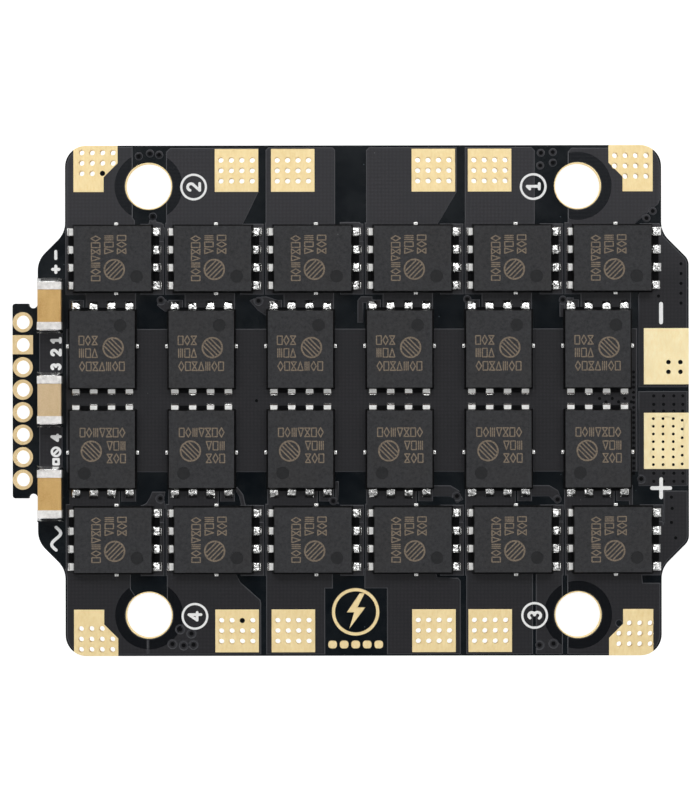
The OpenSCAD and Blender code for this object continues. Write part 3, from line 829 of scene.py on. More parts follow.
# Short copper shapes for the gate signals: row, side, package and points measured from its middle
HOOK = [(2.35, 2.65), (3.6, 2.65), (4.18, 3.0), (4.44, 3.58), (4.05, 3.8), (3.6, 3.33), (2.35, 3.33)]
GATE_COPPER = (
    ("low", 1, 0, [(2.49, 1.5), (3.59, 1.5), (3.67, 2.1), (3.44, 2.5), (3.04, 2.6), (2.94, 2.9), (2.69, 2.9),
                   (2.59, 2.5)]),
    ("low", 1, 2, [(1.99, 1.9), (3.53, 1.9), (3.53, 2.3), (3.29, 2.54), (1.99, 2.54)]),
    ("high", 1, 1, [(-3.2, 3.45), (-2.7, 3.7), (-2.4, 3.35), (-1.8, 3.35), (-1.8, 2.85), (-2.6, 2.75),
                    (-3.1, 3.15)]),
    ("high", 1, 2, [(-3.54, 3.45), (-3.04, 3.7), (-2.44, 3.7), (-1.64, 3.45), (-1.64, 2.75), (-2.44, 2.45),
                    (-3.04, 2.85)]),
    ("high", 1, 3, [(-2.93, 1.95), (-2.63, 1.95), (-2.63, 3.35), (-1.98, 3.35), (-1.98, 3.7), (-2.73, 3.7),
                    (-2.93, 3.45)]),
    ("high", 1, 5, [(-2.64, 2.35), (-2.36, 2.35), (-2.36, 3.25), (-1.76, 3.25), (-1.76, 3.6), (-2.46, 3.6),
                    (-2.64, 3.35)]),
    ("high", -1, 0, [(3.39, 3.45), (3.54, 3.07), (4.39, 3.07), (4.39, 4.15), (2.64, 4.15), (3.14, 3.85)]),
    ("high", -1, 1, [(2.3, 2.75), (2.5, 2.75), (2.9, 3.25), (3.05, 3.95), (2.85, 3.95), (2.7, 3.35)]),
    ("high", -1, 2, rect(2.51, 2.35, 2.66, 3.85)),
    ("high", -1, 3, HOOK),
    ("high", -1, 4, HOOK),
    ("high", -1, 5, rect(2.29, 2.65, 2.44, 3.95)),
)
capacitors = [node_box(f"bypass_capacitor_{i}") for i in (1, 2, 3)]
PAD_SIDE = PLUS_LOW.x - 0.33
centre_copper = [
    rect(HIGH_X[0] - 2.51, HIGH_ROW[-1] - 1.57, HIGH_X[5] + 2.76, HIGH_ROW[1] + 1.4),
    rect(PAD_SIDE, PLUS_LOW.y - 1.15, EDGE_X, PLUS_HIGH.y + 1.48),
    [(PAD_SIDE, MINUS_LOW.y - 0.14), (EDGE_X, MINUS_LOW.y - 0.14), (EDGE_X, MINUS_HIGH.y + 4.9),
     (EDGE_X - 1.68, MINUS_HIGH.y + 6.5), (PAD_SIDE + 0.58, MINUS_HIGH.y + 7.3),
     (PAD_SIDE + 0.58, MINUS_HIGH.y + 3.0), (PAD_SIDE, MINUS_HIGH.y + 2.4)],
    [(EDGE_X - 1.58, PLUS_LOW.y - 1.6), (EDGE_X, PLUS_LOW.y - 1.6), (EDGE_X, PLUS_LOW.y - 5.3),
     (EDGE_X - 1.68, PLUS_LOW.y - 7.0), (EDGE_X - 2.68, PLUS_LOW.y - 7.0), (EDGE_X - 2.68, PLUS_LOW.y - 4.0),
     (EDGE_X - 1.68, PLUS_LOW.y - 4.0), (EDGE_X - 1.58, PLUS_LOW.y - 3.8)],
]
for (over_low, over_high), (under_low, under_high) in zip(capacitors, capacitors[1:]):
    centre_copper.append(rect(-EDGE_X, under_high.y + 0.22, over_high.x, over_low.y - 0.28))

# Masked vias beside the mounting holes, as distances outwards from each hole
HOLE_VIAS = {
    1: ((-2.6, 2.35), (-1.75, 2.4), (-2.65, 1.45), (-1.75, 1.65), (5.35, -1.8), (4.9, -2.3)),
    2: ((0.7, 2.15), (-0.1, 2.35), (-0.75, 2.25), (-0.3, -2.15)),
    3: ((-2.75, 2.15), (-1.75, 2.05)),
    4: ((-2.2, 1.0), (-3.0, 1.3), (-1.65, 2.05), (-2.45, 2.15), (-3.15, 2.1)),
}
# Masked vias at the gate leads of the inner packages: side, package and distance from its middle
GATE_VIAS = (
    (1, 1, (-2.9, 3.5)), (1, 2, (-2.99, 3.45)), (1, 4, (-2.22, 3.55)), (1, 5, (-2.46, 3.5)),
    (-1, 0, (4.09, 3.5)), (-1, 2, (2.31, 3.7)), (-1, 3, (4.07, 3.35)), (-1, 4, (4.18, 3.6)),
    (-1, 5, (3.09, 2.15)))
covered_vias = []
for channel, places in HOLE_VIAS.items():
    sx, sy = signs_of(channel)
    covered_vias += [(sx * (HOLE_HALF + dx), sy * (HOLE_HALF + dy)) for dx, dy in places]
for side, index, place in GATE_VIAS:
    covered_vias += beside("high", side, index, [place])

# Small vias: a line beside the last inner packages, a grid round the positive pad and a few at the wings
ROWS_Y = (HIGH_ROW[1] + HIGH_ROW[-1]) / 2
small_vias = [(HIGH_X[5] + 2.56, HIGH_ROW[1] - 1.65 - 0.36 * i) for i in range(21)]
for y in (PLUS_HIGH.y + 1.2, PLUS_HIGH.y + 0.6, PLUS_HIGH.y + 0.12, PLUS_LOW.y - 0.3, PLUS_LOW.y - 0.88):
    small_vias += [(PLUS_LOW.x + dx, y) for dx in (0.7, 1.4, 2.13, 2.77)]
small_vias += [(EDGE_X - 0.39, MINUS_HIGH.y + 4.58 - 0.7 * i) for i in range(5)]
WING_VIAS = ((1.09, 2.0), (1.04, 2.8), (1.09, 3.8), (0.79, 4.9))
small_vias += [(EDGE_X - dx, PLUS_LOW.y - dy) for dx, dy in WING_VIAS]
small_vias += [(MINUS_LOW.x + 1.05, MINUS_HIGH.y + 2.28), (HIGH_X[2] - 3.14, ROWS_Y - 0.1)]
small_vias += [(HIGH_X[5] + 0.14 + 0.45 * i, ROWS_Y - 0.1 + 0.12 * (-1) ** i) for i in range(6)]

# The gold sign's middle, inwards from the board's lower edge and between the two middle packages
SIGN_X = (LOW_X[2] + LOW_X[3]) / 2 - 0.53
SIGN_Y = 3.18 - BOARD_HALF
bare_spots = [rect(SIGN_X - 2.23, -EDGE_Y, SIGN_X + 2.27, SIGN_Y + 1.67)]
bare_spots += [circle(*BLOCKED_STITCHES[0][:2], 0.3, 12), circle(*stitch(3, "c", -1.5, -1), 0.28, 12)]


def cut_circles(places, r, sides=12):
    return [circle(x, y, r, sides) for x, y in places]


hole_cuts = cut_circles(HOLES, HOLE_R + HOLE_MARGIN, 48) + cut_circles(STITCHES, STITCH_R + 0.05)
plug_cuts = [circle(x, y, r + PLUG_MARGIN, 12) for x, y, r in PLUGS]
inset_outline = board_outline(EDGE_GAP)

top_copper = [beside("low", side, index, points) for side, index, points in END_COPPER]
top_copper += [beside(kind, side, index, points) for kind, side, index, points in GATE_COPPER]
top_copper += centre_copper + lead_copper(1) + lead_copper(-1)
bare = bare_spots + hole_cuts + plug_cuts + cut_circles(covered_vias, VIA_GAP_R, 20)
POUR_TOP = TOP + POUR_RISE
pour_shape = region(top_copper, bare, inset_outline)
piece("copper_pours_top", plate(pour_shape, TOP, POUR_TOP, POUR_SKIRT), POUR)
lands = region(cut_circles(covered_vias, VIA_LAND_R, 20))
piece("via_lands_top", plate(lands, TOP, POUR_TOP, 0.05), POUR)

# The squares between the leads are partly bare board and partly painted shade, drawn near-black
gap_shade_squares = lead_gaps(LOW_SIDE, 0.44, 0.32) + lead_gaps(HIGH_SIDE, 0.13, 0.24)
GAP_RISE, DOT_RISE = 0.006, 0.004
flats = [plate(region(gap_shade_squares), TOP, POUR_TOP + GAP_RISE)]
for places, r, sides in ((small_vias, SMALL_VIA_R, 10), (covered_vias, VIA_R, 12)):
    flats += [plate(region([dot]), TOP, POUR_TOP + DOT_RISE) for dot in cut_circles(places, r, sides)]
piece("mask_gaps_and_gap_shade_top", joined(flats), PLUG_INK_AND_GAP_SHADE)

# -------- plated barrels and plugged vias

BARREL_LOW, BARREL_HIGH = BOTTOM - 0.055, TOP + 0.056
barrels = []
for places, r, wall, sides in ((STITCHES, STITCH_R, 0.03, 14), (SIGNAL_HOLES, SIGNAL_R, 0.012, 32)):
    barrels += [tube(x, y, r + 0.004, r - wall, BARREL_LOW, BARREL_HIGH, sides) for x, y in places]
piece("hole_barrels", joined(barrels), GOLD)

PLUG_LOOPS = ((1.0, BOTTOM - 0.02), (1.0, TOP + 0.02), (0.6, TOP))
plug_parts = []
for x, y, r in PLUGS:
    loops = [[(px, py, z) for px, py in circle(x, y, r * share, 12)] for share, z in PLUG_LOOPS]
    plug_parts.append(lofted(loops))
piece("via_plugs", joined(plug_parts), PLUG_INK_AND_GAP_SHADE)

# -------- printed legend

INK_TOP = TOP + 0.055
SIGNS = {
    "1": [[(-0.2, 0.28), (0.02, 0.5), (0.02, -0.5)], [(-0.2, -0.5), (0.24, -0.5)]],
    "2": [arc(0, 0.22, 0.28, 165, -30, 7) + [(-0.28, -0.5), (0.3, -0.5)]],
    "3": [arc(0, 0.25, 0.25, 150, -80, 6) + arc(0, -0.24, 0.27, 80, -150, 6)],
    "4": [[(0.14, -0.5), (0.14, 0.5), (-0.32, -0.18), (0.32, -0.18)]],
    "minus": [[(-0.4, 0), (0.4, 0)]],
    "plus": [[(-0.4, 0), (0.4, 0)], [(0, -0.4), (0, 0.4)]],
    "open": [arc(0, 0, 0.36, 0, 360, 14), [(-0.2, -0.2), (0.2, 0.2)]],
    "square": [[(-0.3, -0.3), (0.3, -0.3), (0.3, 0.3), (-0.3, 0.3), (-0.3, -0.3)]],
    "wave": [[(-0.9 + 0.15 * i, 0.36 * math.sin(0.15 * i * 3.5)) for i in range(13)]],
}


def sign(name, x, y, size, width, quarter_turns=0, mirror=False):
    """Strokes of one printed sign, size millimetres high."""
    made = []
    for line in SIGNS[name]:
        scaled = [(px * size, py * size) for px, py in line]
        made += strokes(turned(scaled, quarter_turns, x, y, mirror), width)
    return made


legend = []
# The channel numbers stand inwards from the mounting holes
for channel, dx, dy in ((1, 3.15, 0.05), (2, 3.2, 0.05), (3, 3.09, -0.05), (4, 3.25, -0.08)):
    sx, sy = signs_of(channel)
    x, y = sx * (HOLE_HALF - dx), sy * (HOLE_HALF - dy)
    legend += sign(str(channel), x, y, 0.86, 0.19, 1)
    legend.append(ring(x, y, 0.95, 0.8, 40))
# The wires' signs stand beside and between the three capacitors
label_x = middle_of(capacitors[0]).x + 0.42
for name, y, size, width, turns in (
        ("minus", capacitors[0][1].y + 1.96, 0.62, 0.2, 1),
        ("plus", capacitors[0][1].y + 0.94, 0.56, 0.2, 0),
        ("1", capacitors[0][0].y - 0.8, 0.62, 0.2, 1),
        ("2", capacitors[0][0].y - 1.66, 0.62, 0.2, 1),
        ("3", capacitors[0][0].y - 2.68, 0.6, 0.2, 1),
        ("4", capacitors[1][0].y - 1.04, 0.6, 0.2, 1),
        ("open", capacitors[1][0].y - 2.04, 0.84, 0.16, 0),
        ("square", capacitors[1][0].y - 2.74, 0.6, 0.17, 0),
        ("wave", capacitors[2][0].y - 1.54, 0.9, 0.2, 1)):
    legend += sign(name, label_x, y, size, width, turns)
legend += sign("minus", middle_of((MINUS_LOW, MINUS_HIGH)).x - 0.37, MINUS_HIGH.y + 1.07, 1.64, 0.27, 1)
legend += sign("plus", middle_of((PLUS_LOW, PLUS_HIGH)).x - 0.38, PLUS_LOW.y - 1.36, 1.62, 0.25)
piece("legend_top", plate(region(legend), TOP, INK_TOP, 0.015), SILK)

# -------- generic gold sign and bars

BOLT = [(0.29, 1.25), (-0.61, -0.08), (-0.09, -0.08), (-0.45, -1.25), (0.67, 0.25), (0.11, 0.25),
        (0.63, 1.25)]
sign_shape = [ring(SIGN_X, SIGN_Y - 0.06, 1.68, 1.47, 64), turned(BOLT, 0, SIGN_X, SIGN_Y)]
for i in range(5):
    x = SIGN_X + 0.82 * (i - 2)
    sign_shape.append(rounded_rect(x - 0.3, SIGN_Y - 2.65, x + 0.3, SIGN_Y - 2.11, 0.2))
piece("gold_sign", plate(region(sign_shape), TOP, TOP + 0.05, 0.02), GOLD)

# -------- laser marks on the packages

SYMBOL_STEP = 0.47
SYMBOL_H, SYMBOL_W, SYMBOL_LINE = 0.6, 0.34, 0.085
# Plain shapes that stand for a part's code, in a box from -0.5 to 0.5 each way
SYMBOLS = {
    "b": [[(-0.5, -0.5), (0.5, -0.5), (0.5, 0.5), (-0.5, 0.5), (-0.5, -0.5)]],
    "d": [[(-0.55, 0), (0, -0.55), (0.55, 0), (0, 0.55), (-0.55, 0)]],
    "t": [[(-0.5, -0.55), (-0.5, 0.55), (0.5, 0), (-0.5, -0.55)]],
    "g": [[(-0.5, -0.55), (0.5, 0.55), (0.5, -0.55), (-0.5, 0.55), (-0.5, -0.55)]],
    "l": [[(-0.5, -0.4), (0.5, -0.4)], [(-0.5, 0), (0.5, 0)], [(-0.5, 0.4), (0.5, 0.4)]],
}


def symbol_row(kinds, start, across):
    """A row of symbols that runs along +Y, with its foot towards +X."""
    made = []
    for i, kind in enumerate(kinds):
        for line in SYMBOLS[kind]:
            points = [(across + u * SYMBOL_H, start + SYMBOL_STEP * i + v * SYMBOL_W) for u, v in line]
            made += strokes(points, SYMBOL_LINE, steps=2)
    return made


def package_marks():
    """Three rows of symbols and a hatched ring, for a package with its source side towards +X."""
    made = symbol_row("bdltgbd", -1.4, -1.2) + symbol_row("tbl", 0.53, -0.26) + symbol_row("gdb", 0.53, 0.64)
    made.append(ring(0.12, -0.78, 0.76, 0.64, 32))
    for step in (-0.36, -0.12, 0.12, 0.36):
        reach = math.sqrt((0.62 ** 2 - step ** 2) / 2)
        x, y = 0.12 + step / math.sqrt(2), -0.78 - step / math.sqrt(2)
        made += strokes([(x - reach, y - reach), (x + reach, y + reach)], 0.1, steps=2)
    return made


MARK_ROOT, MARK_RISE = -0.02, 0.004
marks = plate(region(package_marks()), MARK_ROOT, MARK_RISE)
for kind, places in (("low_side", LOW_SIDE), ("high_side", HIGH_SIDE)):
    parts = [placed(marks, x, y, PACKAGE_TOP, turns) for x, y, turns in places]
    piece(f"laser_marks_{kind}", joined(parts), LASER)

DIMPLE_X, DIMPLE_Y, DIMPLE_R, DIMPLE_DEPTH = 1.7, -1.27, 0.45, 0.03
disc = region([circle(DIMPLE_X, DIMPLE_Y, DIMPLE_R - 0.012, 32)])
dimple = plate(disc, -DIMPLE_DEPTH - 0.01, -DIMPLE_DEPTH + 0.012)
dimples = [placed(dimple, x, y, PACKAGE_TOP, turns) for x, y, turns in LOW_SIDE + HIGH_SIDE]
piece("dimple_floors", joined(dimples), DIMPLE)

# -------- cut ends of the transistors' tie bars

TIE_BAR_X, TIE_BAR_W, TIE_BAR_HALF = 0.23, 0.28, 2.58


def tie_bar_end():
    """A sheared copper end with a rounded burr, x across it and y outwards from the package's middle line."""
    loops = []
    for share, y in ((0.8, -0.16), (1.0, -0.1), (1.0, -0.03), (0.72, 0.02)):
        half, top = TIE_BAR_W / 2 * share + 0.012, 0.265 * (0.5 + 0.5 * share)
        profile = [(half, 0.02), (half, top - 0.1), (half * 0.7, top - 0.02), (0, top),
                   (-half * 0.7, top - 0.02), (-half, top - 0.1), (-half, 0.02)]
        loops.append([(-px, y, pz) for px, pz in profile])
    return lofted(loops)


burr = tie_bar_end()
parts = []
for x, y, turns in LOW_SIDE + HIGH_SIDE:
    for side, over in ((1, 0), (-1, 2)):
        end = placed(burr, TIE_BAR_X, side * TIE_BAR_HALF, 0, over)
        parts.append(placed(end, x, y, TOP, turns))
piece("tie_bar_ends", joined(parts), SOLDER, smooth=True)

# -------- solder on the transistors' leads


def solder_on_lead(length, width, covered):
    """One lead's solder. x runs outwards from the moulding, y across the lead, z up from the board."""
    xs = [-0.08, -0.04] + [LEAD_TIP * k / 4 for k in range(1, 5)]
    xs += [LEAD_TIP + (length - LEAD_TIP) * k / 4 for k in range(1, 5)]
    ys = [width * (k / 10 - 0.5) for k in range(11)]

    def rise_at(x, y):
        past = max(0.0, x - LEAD_TIP) / (length - LEAD_TIP)
        aside = max(0.0, abs(y) - HALF_LEAD) / (width / 2 - HALF_LEAD)
        away = min(1.0, math.hypot(past, aside))
        if covered:
            crown = LEAD_HEIGHT + 0.055 - 0.09 * max(0.0, x) / length
            return crown * (1 - away ** 2.2) + draw.gauss(0, 0.04) * (1 - away)
        return (LEAD_HEIGHT - 0.035) * (1 - away) ** 0.8 + draw.gauss(0, 0.008) * (1 - away)

    return mound(xs, ys, rise_at, 0.02, draw.uniform(-0.03, 0.03))


def package_solder(x, y, turns):
    """Solder at the eight leads of one package."""
    made = []
    for step in (-1.5, -0.5, 0.5, 1.5):
        lead = solder_on_lead(0.64 + draw.uniform(-0.03, 0.04), 0.72, True)
        lead = placed(lead, HALF_LENGTH, step * LEAD_PITCH)
        made.append(placed(lead, x, y, TOP, turns))
        lead = solder_on_lead(0.44 + draw.uniform(-0.02, 0.02), 0.66, False)
        lead = placed(lead, -HALF_LENGTH, step * LEAD_PITCH, 0, 2)
        made.append(placed(lead, x, y, TOP, turns))
    return made


tip = plate(region([rect(-3.17, -0.235, -3.12, 0.235)]), 0.05, 0.256)
tips = [placed(placed(tip, 0, step * LEAD_PITCH), x, y, TOP, turns)
        for x, y, turns in LOW_SIDE + HIGH_SIDE for step in (-1.5, -0.5, 0.5, 1.5)]
piece("sheared_lead_tips", joined(tips), COPPER)

for channel in CHANNELS:
    parts = []
    for phase in PHASES:
        parts += package_solder(*package("low_side", channel, phase))
        parts += package_solder(*package("high_side", channel, phase))
    piece(f"lead_solder_{channel}", joined(parts), SOLDER, smooth=True)

# -------- solder at the ends of the chip parts


def fillet(reach, width, height, rough):
    """Solder against an upright face at x = 0: x runs outwards, y along the face, z up from the board."""
    xs = [-0.02] + [reach * k / 4 for k in range(5)]
    ys = [width * (k / 8 - 0.5) for k in range(9)]

    def rise_at(x, y):
        past, aside = max(0.0, x) / reach, abs(y) / (width / 2)
        rise = height * (1 - past) ** 1.6 * (1 - aside ** 4)
        return rise + draw.gauss(0, rough) * (1 - past) * (1 - aside)

    return mound(xs, ys, rise_at, 0.012)


def end_solder(ends, bodies, reach, climb, rough, under):
    """Solder at the outer face of each end, on the side away from its nearest body."""
    made = []
    for low, high in ends:
        middle = middle_of((low, high))
        body = min((middle_of(b) for b in bodies), key=lambda m: (m - middle).length)
        away = middle - body
        turns = (0 if away.x > 0 else 2) if abs(away.x) > abs(away.y) else (1 if away.y > 0 else 3)
        sideways = high.y - low.y if turns in (0, 2) else high.x - low.x
        face_x = (low.x, high.x)[turns == 0] if turns in (0, 2) else middle.x
        face_y = (low.y, high.y)[turns == 1] if turns in (1, 3) else middle.y
        shape = fillet(reach, sideways + 0.12, (high.z - low.z) * climb, rough)
        made.append(placed(shape, face_x, face_y, BOTTOM if under else TOP, turns, under))
    return made


bypass_bodies = [node_box(f"bypass_capacitor_{i}") for i in (1, 2, 3)]
parts = end_solder(islands("bypass_capacitor_ends"), bypass_bodies, 0.3, 0.5, 0.03, False)
piece("capacitor_solder_top", joined(parts), SOLDER, smooth=True)

chip_bodies = islands("chip_resistors") + islands("chip_capacitors")
parts = end_solder(islands("chip_terminals"), chip_bodies, 0.16, 0.55, 0.004, True)
parts += end_solder(islands("bulk_capacitor_ends"), islands("bulk_capacitors"), 0.3, 0.5, 0.012, True)
parts += end_solder(islands("shunt_terminals"), [node_box("shunt_resistor")], 0.5, 0.5, 0.012, True)
SQUARES = [f"{kind}_{channel}" for kind in ("microcontroller", "gate_driver") for channel in CHANNELS]
pins = [box for box in islands("leadless_contacts") if (box[1] - box[0]).x < 1]
parts += end_solder(pins, [node_box(name) for name in SQUARES], 0.12, 0.8, 0.003, True)
REGULATORS = ("current_sense_amplifier", "logic_regulator", "gate_supply_regulator")
regulator_middles = [middle_of(node_box(name)) for name in REGULATORS]
for low, high in islands("regulator_leads"):
    foot = middle_of((low, high))
    body = min(regulator_middles, key=lambda m: (m - foot).length)
    y, turns = (high.y, 1) if foot.y > body.y else (low.y, 3)
    parts.append(placed(fillet(0.14, 0.5, 0.1, 0.004), foot.x, y, BOTTOM, turns, True))
coil_low, coil_high = node_box("gate_supply_inductor")
for turns, x in ((0, coil_high.x), (2, coil_low.x)):
    parts.append(placed(fillet(0.4, 2.6, 0.5, 0.01), x, (coil_low.y + coil_high.y) / 2, BOTTOM, turns, True))
piece("chip_solder_underside", joined(parts), SOLDER, smooth=True)

# -------- underside: copper, tracks and legend


def quarter(channel, points):
    """Points of the +X+Y quarter moved to a channel's own quarter."""
    sx, sy = signs_of(channel)
    moved = [(sx * x, sy * y) for x, y in points]
    return moved if sx * sy > 0 else moved[::-1]


TRACK_W = 0.16
UNDER_LAND_R, UNDER_VIA_R = 0.2, 0.1


def under_plate(shape, rise, skirt=0.0):
    return placed(plate(shape, 0.0, rise, skirt), 0, 0, BOTTOM, 0, True)


def fan(count, starts, ends, bend=0.5):
    """Tracks between two rows of ends; each row is its first place and its step, and x or y leads."""
    tracks = []
    for i in range(count):
        a, b = ((first[0] + step[0] * i, first[1] + step[1] * i) for first, step in (starts, ends))
        knee = (a[0] + (b[0] - a[0]) * bend, a[1]) if starts[1][1] else (a[0], a[1] + (b[1] - a[1]) * bend)
        tracks.append([a, knee, b])
    return tracks


chip_low, chip_high = node_box("microcontroller_1")
driver_low, driver_high = node_box("gate_driver_1")
PAD_A, PAD_B, PAD_C = (motor_face(1, phase) for phase in PHASES)
POUR_Y = PAD_A[1] - 2.62
UNDER_COPPER = [
    rect(PAD_A[0] - 4.4, POUR_Y, PAD_A[0] + 1.9, EDGE_Y),
    rect(PAD_B[0] - 1.8, POUR_Y, PAD_B[0] + 3.35, EDGE_Y),
    [(PAD_C[0] - 2.05, POUR_Y - 2.15), (PAD_C[0] + 0.45, POUR_Y - 2.15), (PAD_C[0] + 2.1, POUR_Y - 0.5),
     (PAD_C[0] + 2.1, EDGE_Y), (PAD_C[0] - 2.05, EDGE_Y)],
]
VIA_COLUMN = (driver_low.x - 3.75, driver_low.y + 0.2)
EDGE_VIAS = (chip_high.x + 3.85, chip_low.y + 0.5)
UNDER_TRACKS = (
    fan(6, ((chip_low.x - 0.05, chip_low.y + 0.9), (0, 0.5)),
        ((driver_high.x + 0.05, driver_low.y + 0.4), (0, 0.5)))
    + fan(6, ((driver_low.x + 0.75, driver_high.y + 0.05), (0.5, 0)),
          ((PAD_A[0] - 1.9, POUR_Y - 1.55), (1.36, 0)))
    + fan(5, ((chip_high.x + 0.05, chip_low.y + 1.7), (0, 0.5)), (EDGE_VIAS, (0, 0.5)), 0.3)
    + fan(5, ((driver_low.x - 0.1, driver_low.y + 0.9), (0, 0.5)), (VIA_COLUMN, (0, 0.6)), 0.3)
    + fan(6, ((chip_low.x + 1.3, chip_low.y + 0.05), (0.5, 0)),
          ((chip_low.x + 1.1, chip_low.y - 0.8), (0.5, 0))))
UNDER_VIAS = (
    [(VIA_COLUMN[0], VIA_COLUMN[1] + 0.6 * i) for i in range(5)]
    + [(EDGE_VIAS[0], EDGE_VIAS[1] + 0.5 * i) for i in range(5)]
    + [(chip_low.x + 2.0 + 0.7 * i, chip_high.y + 1.7) for i in range(2)]
    + [(PAD_B[0] - 0.3 + 0.7 * i, POUR_Y + 0.65) for i in range(5)]
    + [(PAD_A[0] - 1.0 + 0.7 * i, POUR_Y + 0.65) for i in range(4)]
    + [(PAD_C[0] - 0.95 + 0.7 * i, POUR_Y - 1.15) for i in range(2)])
# The supply copper is parted under the middle of each capacitor
bulk_x = sorted({round(middle_of(box).x, 2) for box in islands("bulk_capacitors")})
bulk_top = node_box("bulk_capacitors")[1].y
rail_edges = [bulk_x[0] - 5.94, *bulk_x, EDGE_X]
RAIL_COPPER = []
for side in (-1, 1):
    near, far = sorted((side * (bulk_top - 2.06), side * (bulk_top + 0.99)))
    for left, right in zip(rail_edges, rail_edges[1:]):
        RAIL_COPPER.append(rect(left + 0.22, near, right - 0.22, far))
SIGNAL_TRACKS = []
for x, y in SIGNAL_HOLES:
    SIGNAL_TRACKS += strokes([(x + 0.75, y), (x + 2.8, y), (x + 3.8, y * 0.72), (x + 4.3, y * 0.72)], TRACK_W)

copper = [quarter(channel, points) for channel in CHANNELS for points in UNDER_COPPER] + RAIL_COPPER
tracks = [*SIGNAL_TRACKS]
for channel in CHANNELS:
    for line in UNDER_TRACKS:
        tracks += strokes(quarter(channel, line), TRACK_W)
under_vias = [quarter(channel, [place])[0] for channel in CHANNELS for place in UNDER_VIAS]
under_cuts = hole_cuts + plug_cuts
copper_shape = region(copper, under_cuts, inset_outline)
track_shape = region(tracks, cut_circles(HOLES, HOLE_R + 0.5, 32))
land_shape = region(cut_circles(under_vias, UNDER_LAND_R, 16))
parts = [under_plate(copper_shape, POUR_RISE, 0.07), under_plate(track_shape, POUR_RISE * 0.8, 0.05),
         under_plate(land_shape, POUR_RISE, 0.07)]
piece("copper_underside", joined(parts), POUR)
dots = under_plate(region(cut_circles(under_vias, UNDER_VIA_R, 10)), POUR_RISE + DOT_RISE)
piece("via_dots_underside", dots, PLUG_INK_AND_GAP_SHADE)

under_legend = []
for channel in CHANNELS:
    x, y = quarter(channel, [(HOLE_HALF - 1.65, HOLE_HALF - 2.35)])[0]
    under_legend += sign(str(channel), x, y, 0.8, 0.16, 0, True)
    under_legend.append(ring(x, y, 0.9, 0.76, 36))
    for kind, gap in (("microcontroller", 0.34), ("gate_driver", 0.3)):
        low, high = node_box(f"{kind}_{channel}")
        under_legend.append(circle(low.x - gap, high.y + gap, 0.13, 14))
for low, high in islands("bulk_capacitors"):
    middle = middle_of((low, high))
    for up in (-1, 1):
        edge = middle.y + up * 1.06
        under_legend += strokes([(middle.x - 1.5, edge), (middle.x + 1.5, edge)], 0.12)
for low, high in (node_box("gate_supply_inductor"), node_box("shunt_resistor")):
    middle, reach = middle_of((low, high)), (high - low) / 2
    for sx in (-1, 1):
        for sy in (-1, 1):
            corner = (middle.x + sx * (reach.x * 0.8), middle.y + sy * (reach.y + 0.25))
            under_legend += strokes([corner, (corner[0] - sx * 0.7, corner[1])], 0.14)
under_legend += sign("minus", middle_of((MINUS_LOW, MINUS_HIGH)).x - 0.35, MINUS_HIGH.y + 1.18, 1.5, 0.3, 1)
under_legend += sign("plus", middle_of((PLUS_LOW, PLUS_HIGH)).x - 0.35, PLUS_LOW.y - 1.5, 1.5, 0.3)
piece("legend_underside", under_plate(region(under_legend), 0.055, 0.015), SILK)

# -------- laser marks on the underside packages


def small_marks(kinds, rows, size):
    """Rows of symbols for a square package, centred on it."""
    made = []
    for row in range(rows):
        across = (row - (rows - 1) / 2) * 1.1
        made += symbol_row(kinds, -SYMBOL_STEP * (len(kinds) - 1) / 2, across)
    return [[(x * size, y * size) for x, y in shape] for shape in made]


marked = [(f"microcontroller_{channel}", "bgdlt", 3, 1.0) for channel in CHANNELS]
marked += [(f"gate_driver_{channel}", "tdbl", 2, 1.0) for channel in CHANNELS]
marked += [(name, "bdt", 1, 0.9) for name in REGULATORS]
marked += [("shunt_resistor", "ldb", 1, 1.8), ("gate_supply_inductor", "bgd", 1, 1.8)]
mark_parts = []
for name, kinds, rows, size in marked:
    low, high = node_box(name)
    mark = plate(region(small_marks(kinds, rows, size)), MARK_ROOT, MARK_RISE)
    mark_parts.append(placed(mark, (low.x + high.x) / 2, (low.y + high.y) / 2, low.z, 1, True))
piece("laser_marks_underside", joined(mark_parts), LASER)

# -------- camera, lights and floor

middle = middle_of(cad_box)
# What the picture shows from top to bottom, and the camera's height above the board, in metres
FRAME_HEIGHT = 0.0569
CAMERA_HEIGHT = 0.5
# The camera stands a little off the middle and is slightly turned
CAMERA_OFFSET = (-0.05 * MM, 0.04 * MM)
CAMERA_ROLL = -0.0014

camera_data = bpy.data.cameras.new("camera")
camera_data.sensor_width = 36
camera_data.lens = camera_data.sensor_width * CAMERA_HEIGHT / FRAME_HEIGHT
camera_data.clip_start = 0.01
camera_data.clip_end = 20
camera = bpy.data.objects.new("camera", camera_data)
camera.location = (middle.x + CAMERA_OFFSET[0], middle.y + CAMERA_OFFSET[1], CAMERA_HEIGHT + TOP * MM)
camera.rotation_euler = (0, 0, CAMERA_ROLL)
bpy.context.scene.collection.objects.link(camera)
bpy.context.scene.camera = camera


def softbox(name, azimuth, tilt, width, length, radiance):
    """An area light that faces the part. Azimuth 0 is on the +X side; tilt is measured from straight up."""
    data = bpy.data.lights.new(name, "AREA")
    data.shape = "RECTANGLE"
    data.size = width
    data.size_y = length
    data.energy = radiance * width * length * math.pi
    light = bpy.data.objects.new(name, data)
    a, t = math.radians(azimuth), math.radians(tilt)
    away = Vector((math.cos(a) * math.sin(t), math.sin(a) * math.sin(t), math.cos(t)))
    light.location = Vector((middle.x, middle.y, 0)) + away * LIGHT_DISTANCE
    light.rotation_mode = "QUATERNION"
    light.rotation_quaternion = away.to_track_quat("Z", "Y")
    light.visible_camera = False
    bpy.context.scene.collection.objects.link(light)


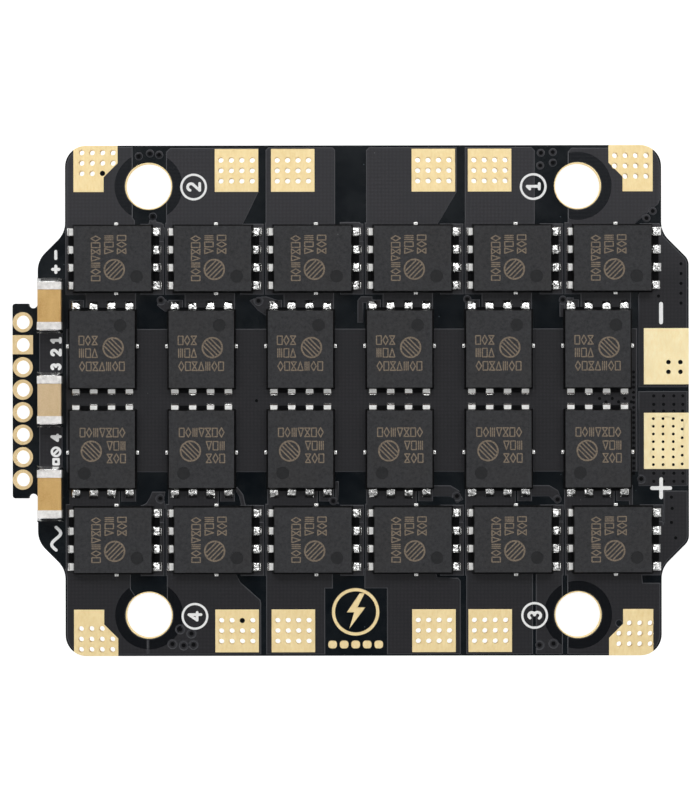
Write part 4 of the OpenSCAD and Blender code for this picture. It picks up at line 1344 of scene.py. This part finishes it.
LIGHT_DISTANCE = 0.9
softbox("key_light", 90, 36, 1.0, 0.36, 4.8)
softbox("fill_light", -90, 28, 0.9, 0.16, 0.8)
softbox("card_light", 90, 7.5, 1.2, 0.1, 0.6)
softbox("left_light", 180, 36, 0.32, 0.9, 1.5)
softbox("right_light", 0, 36, 0.32, 0.9, 1.5)


def add_nodes(tree, *kinds):
    """New shader nodes in a tree that is emptied first."""
    tree.nodes.clear()
    return [tree.nodes.new("ShaderNode" + kind) for kind in kinds]


def connect(tree, *links):
    """Links, each given as a node, its output, the next node and its input."""
    for source, output, target, socket in links:
        tree.links.new(source.outputs[output], target.inputs[socket])

floor_mesh = bpy.data.meshes.new("floor")
FLOOR_HALF = 3.0
FLOOR_GAP = 0.0002
corners = [(x * FLOOR_HALF, y * FLOOR_HALF, cad_box[0].z - FLOOR_GAP) for x, y in rect(-1, -1, 1, 1)]
floor_mesh.from_pydata(corners, [], [(0, 1, 2, 3)])
floor = bpy.data.objects.new("floor", floor_mesh)
bpy.context.scene.collection.objects.link(floor)

# A pale floor with its own glow, clear from below so that the underside can be seen
paper = bpy.data.materials.new("pale_floor")
paper.use_nodes = True
matt, glow, both, clear, side, choice, paper_out = add_nodes(
    paper.node_tree, "BsdfDiffuse", "Emission", "AddShader", "BsdfTransparent", "NewGeometry", "MixShader",
    "OutputMaterial")
matt.inputs["Color"].default_value = (0.25, 0.25, 0.25, 1)
glow.inputs["Color"].default_value = (1, 1, 1, 1)
glow.inputs["Strength"].default_value = 0.97
connect(paper.node_tree, (matt, 0, both, 0), (glow, 0, both, 1), (side, "Backfacing", choice, 0),
        (both, 0, choice, 1), (clear, 0, choice, 2), (choice, 0, paper_out, "Surface"))
floor_mesh.materials.append(paper)

# The surroundings are bright low down and dark overhead
world = bpy.data.worlds.new("studio")
world.use_nodes = True
heading, height, tones, sky, world_out = add_nodes(
    world.node_tree, "TexCoord", "SeparateXYZ", "ValToRGB", "Background", "OutputWorld")
stops = tones.color_ramp.elements
stops.new(0.95)
for stop, position, level in zip(stops, (0.12, 0.75, 0.95), (0.6, 0.12, 0.02)):
    stop.position = position
    stop.color = (level, level, level, 1)
connect(world.node_tree, (heading, "Generated", height, 0), (height, "Z", tones, "Fac"),
        (tones, "Color", sky, "Color"), (sky, 0, world_out, "Surface"))
bpy.context.scene.world = world
bpy.context.scene.view_settings.view_transform = "Standard"
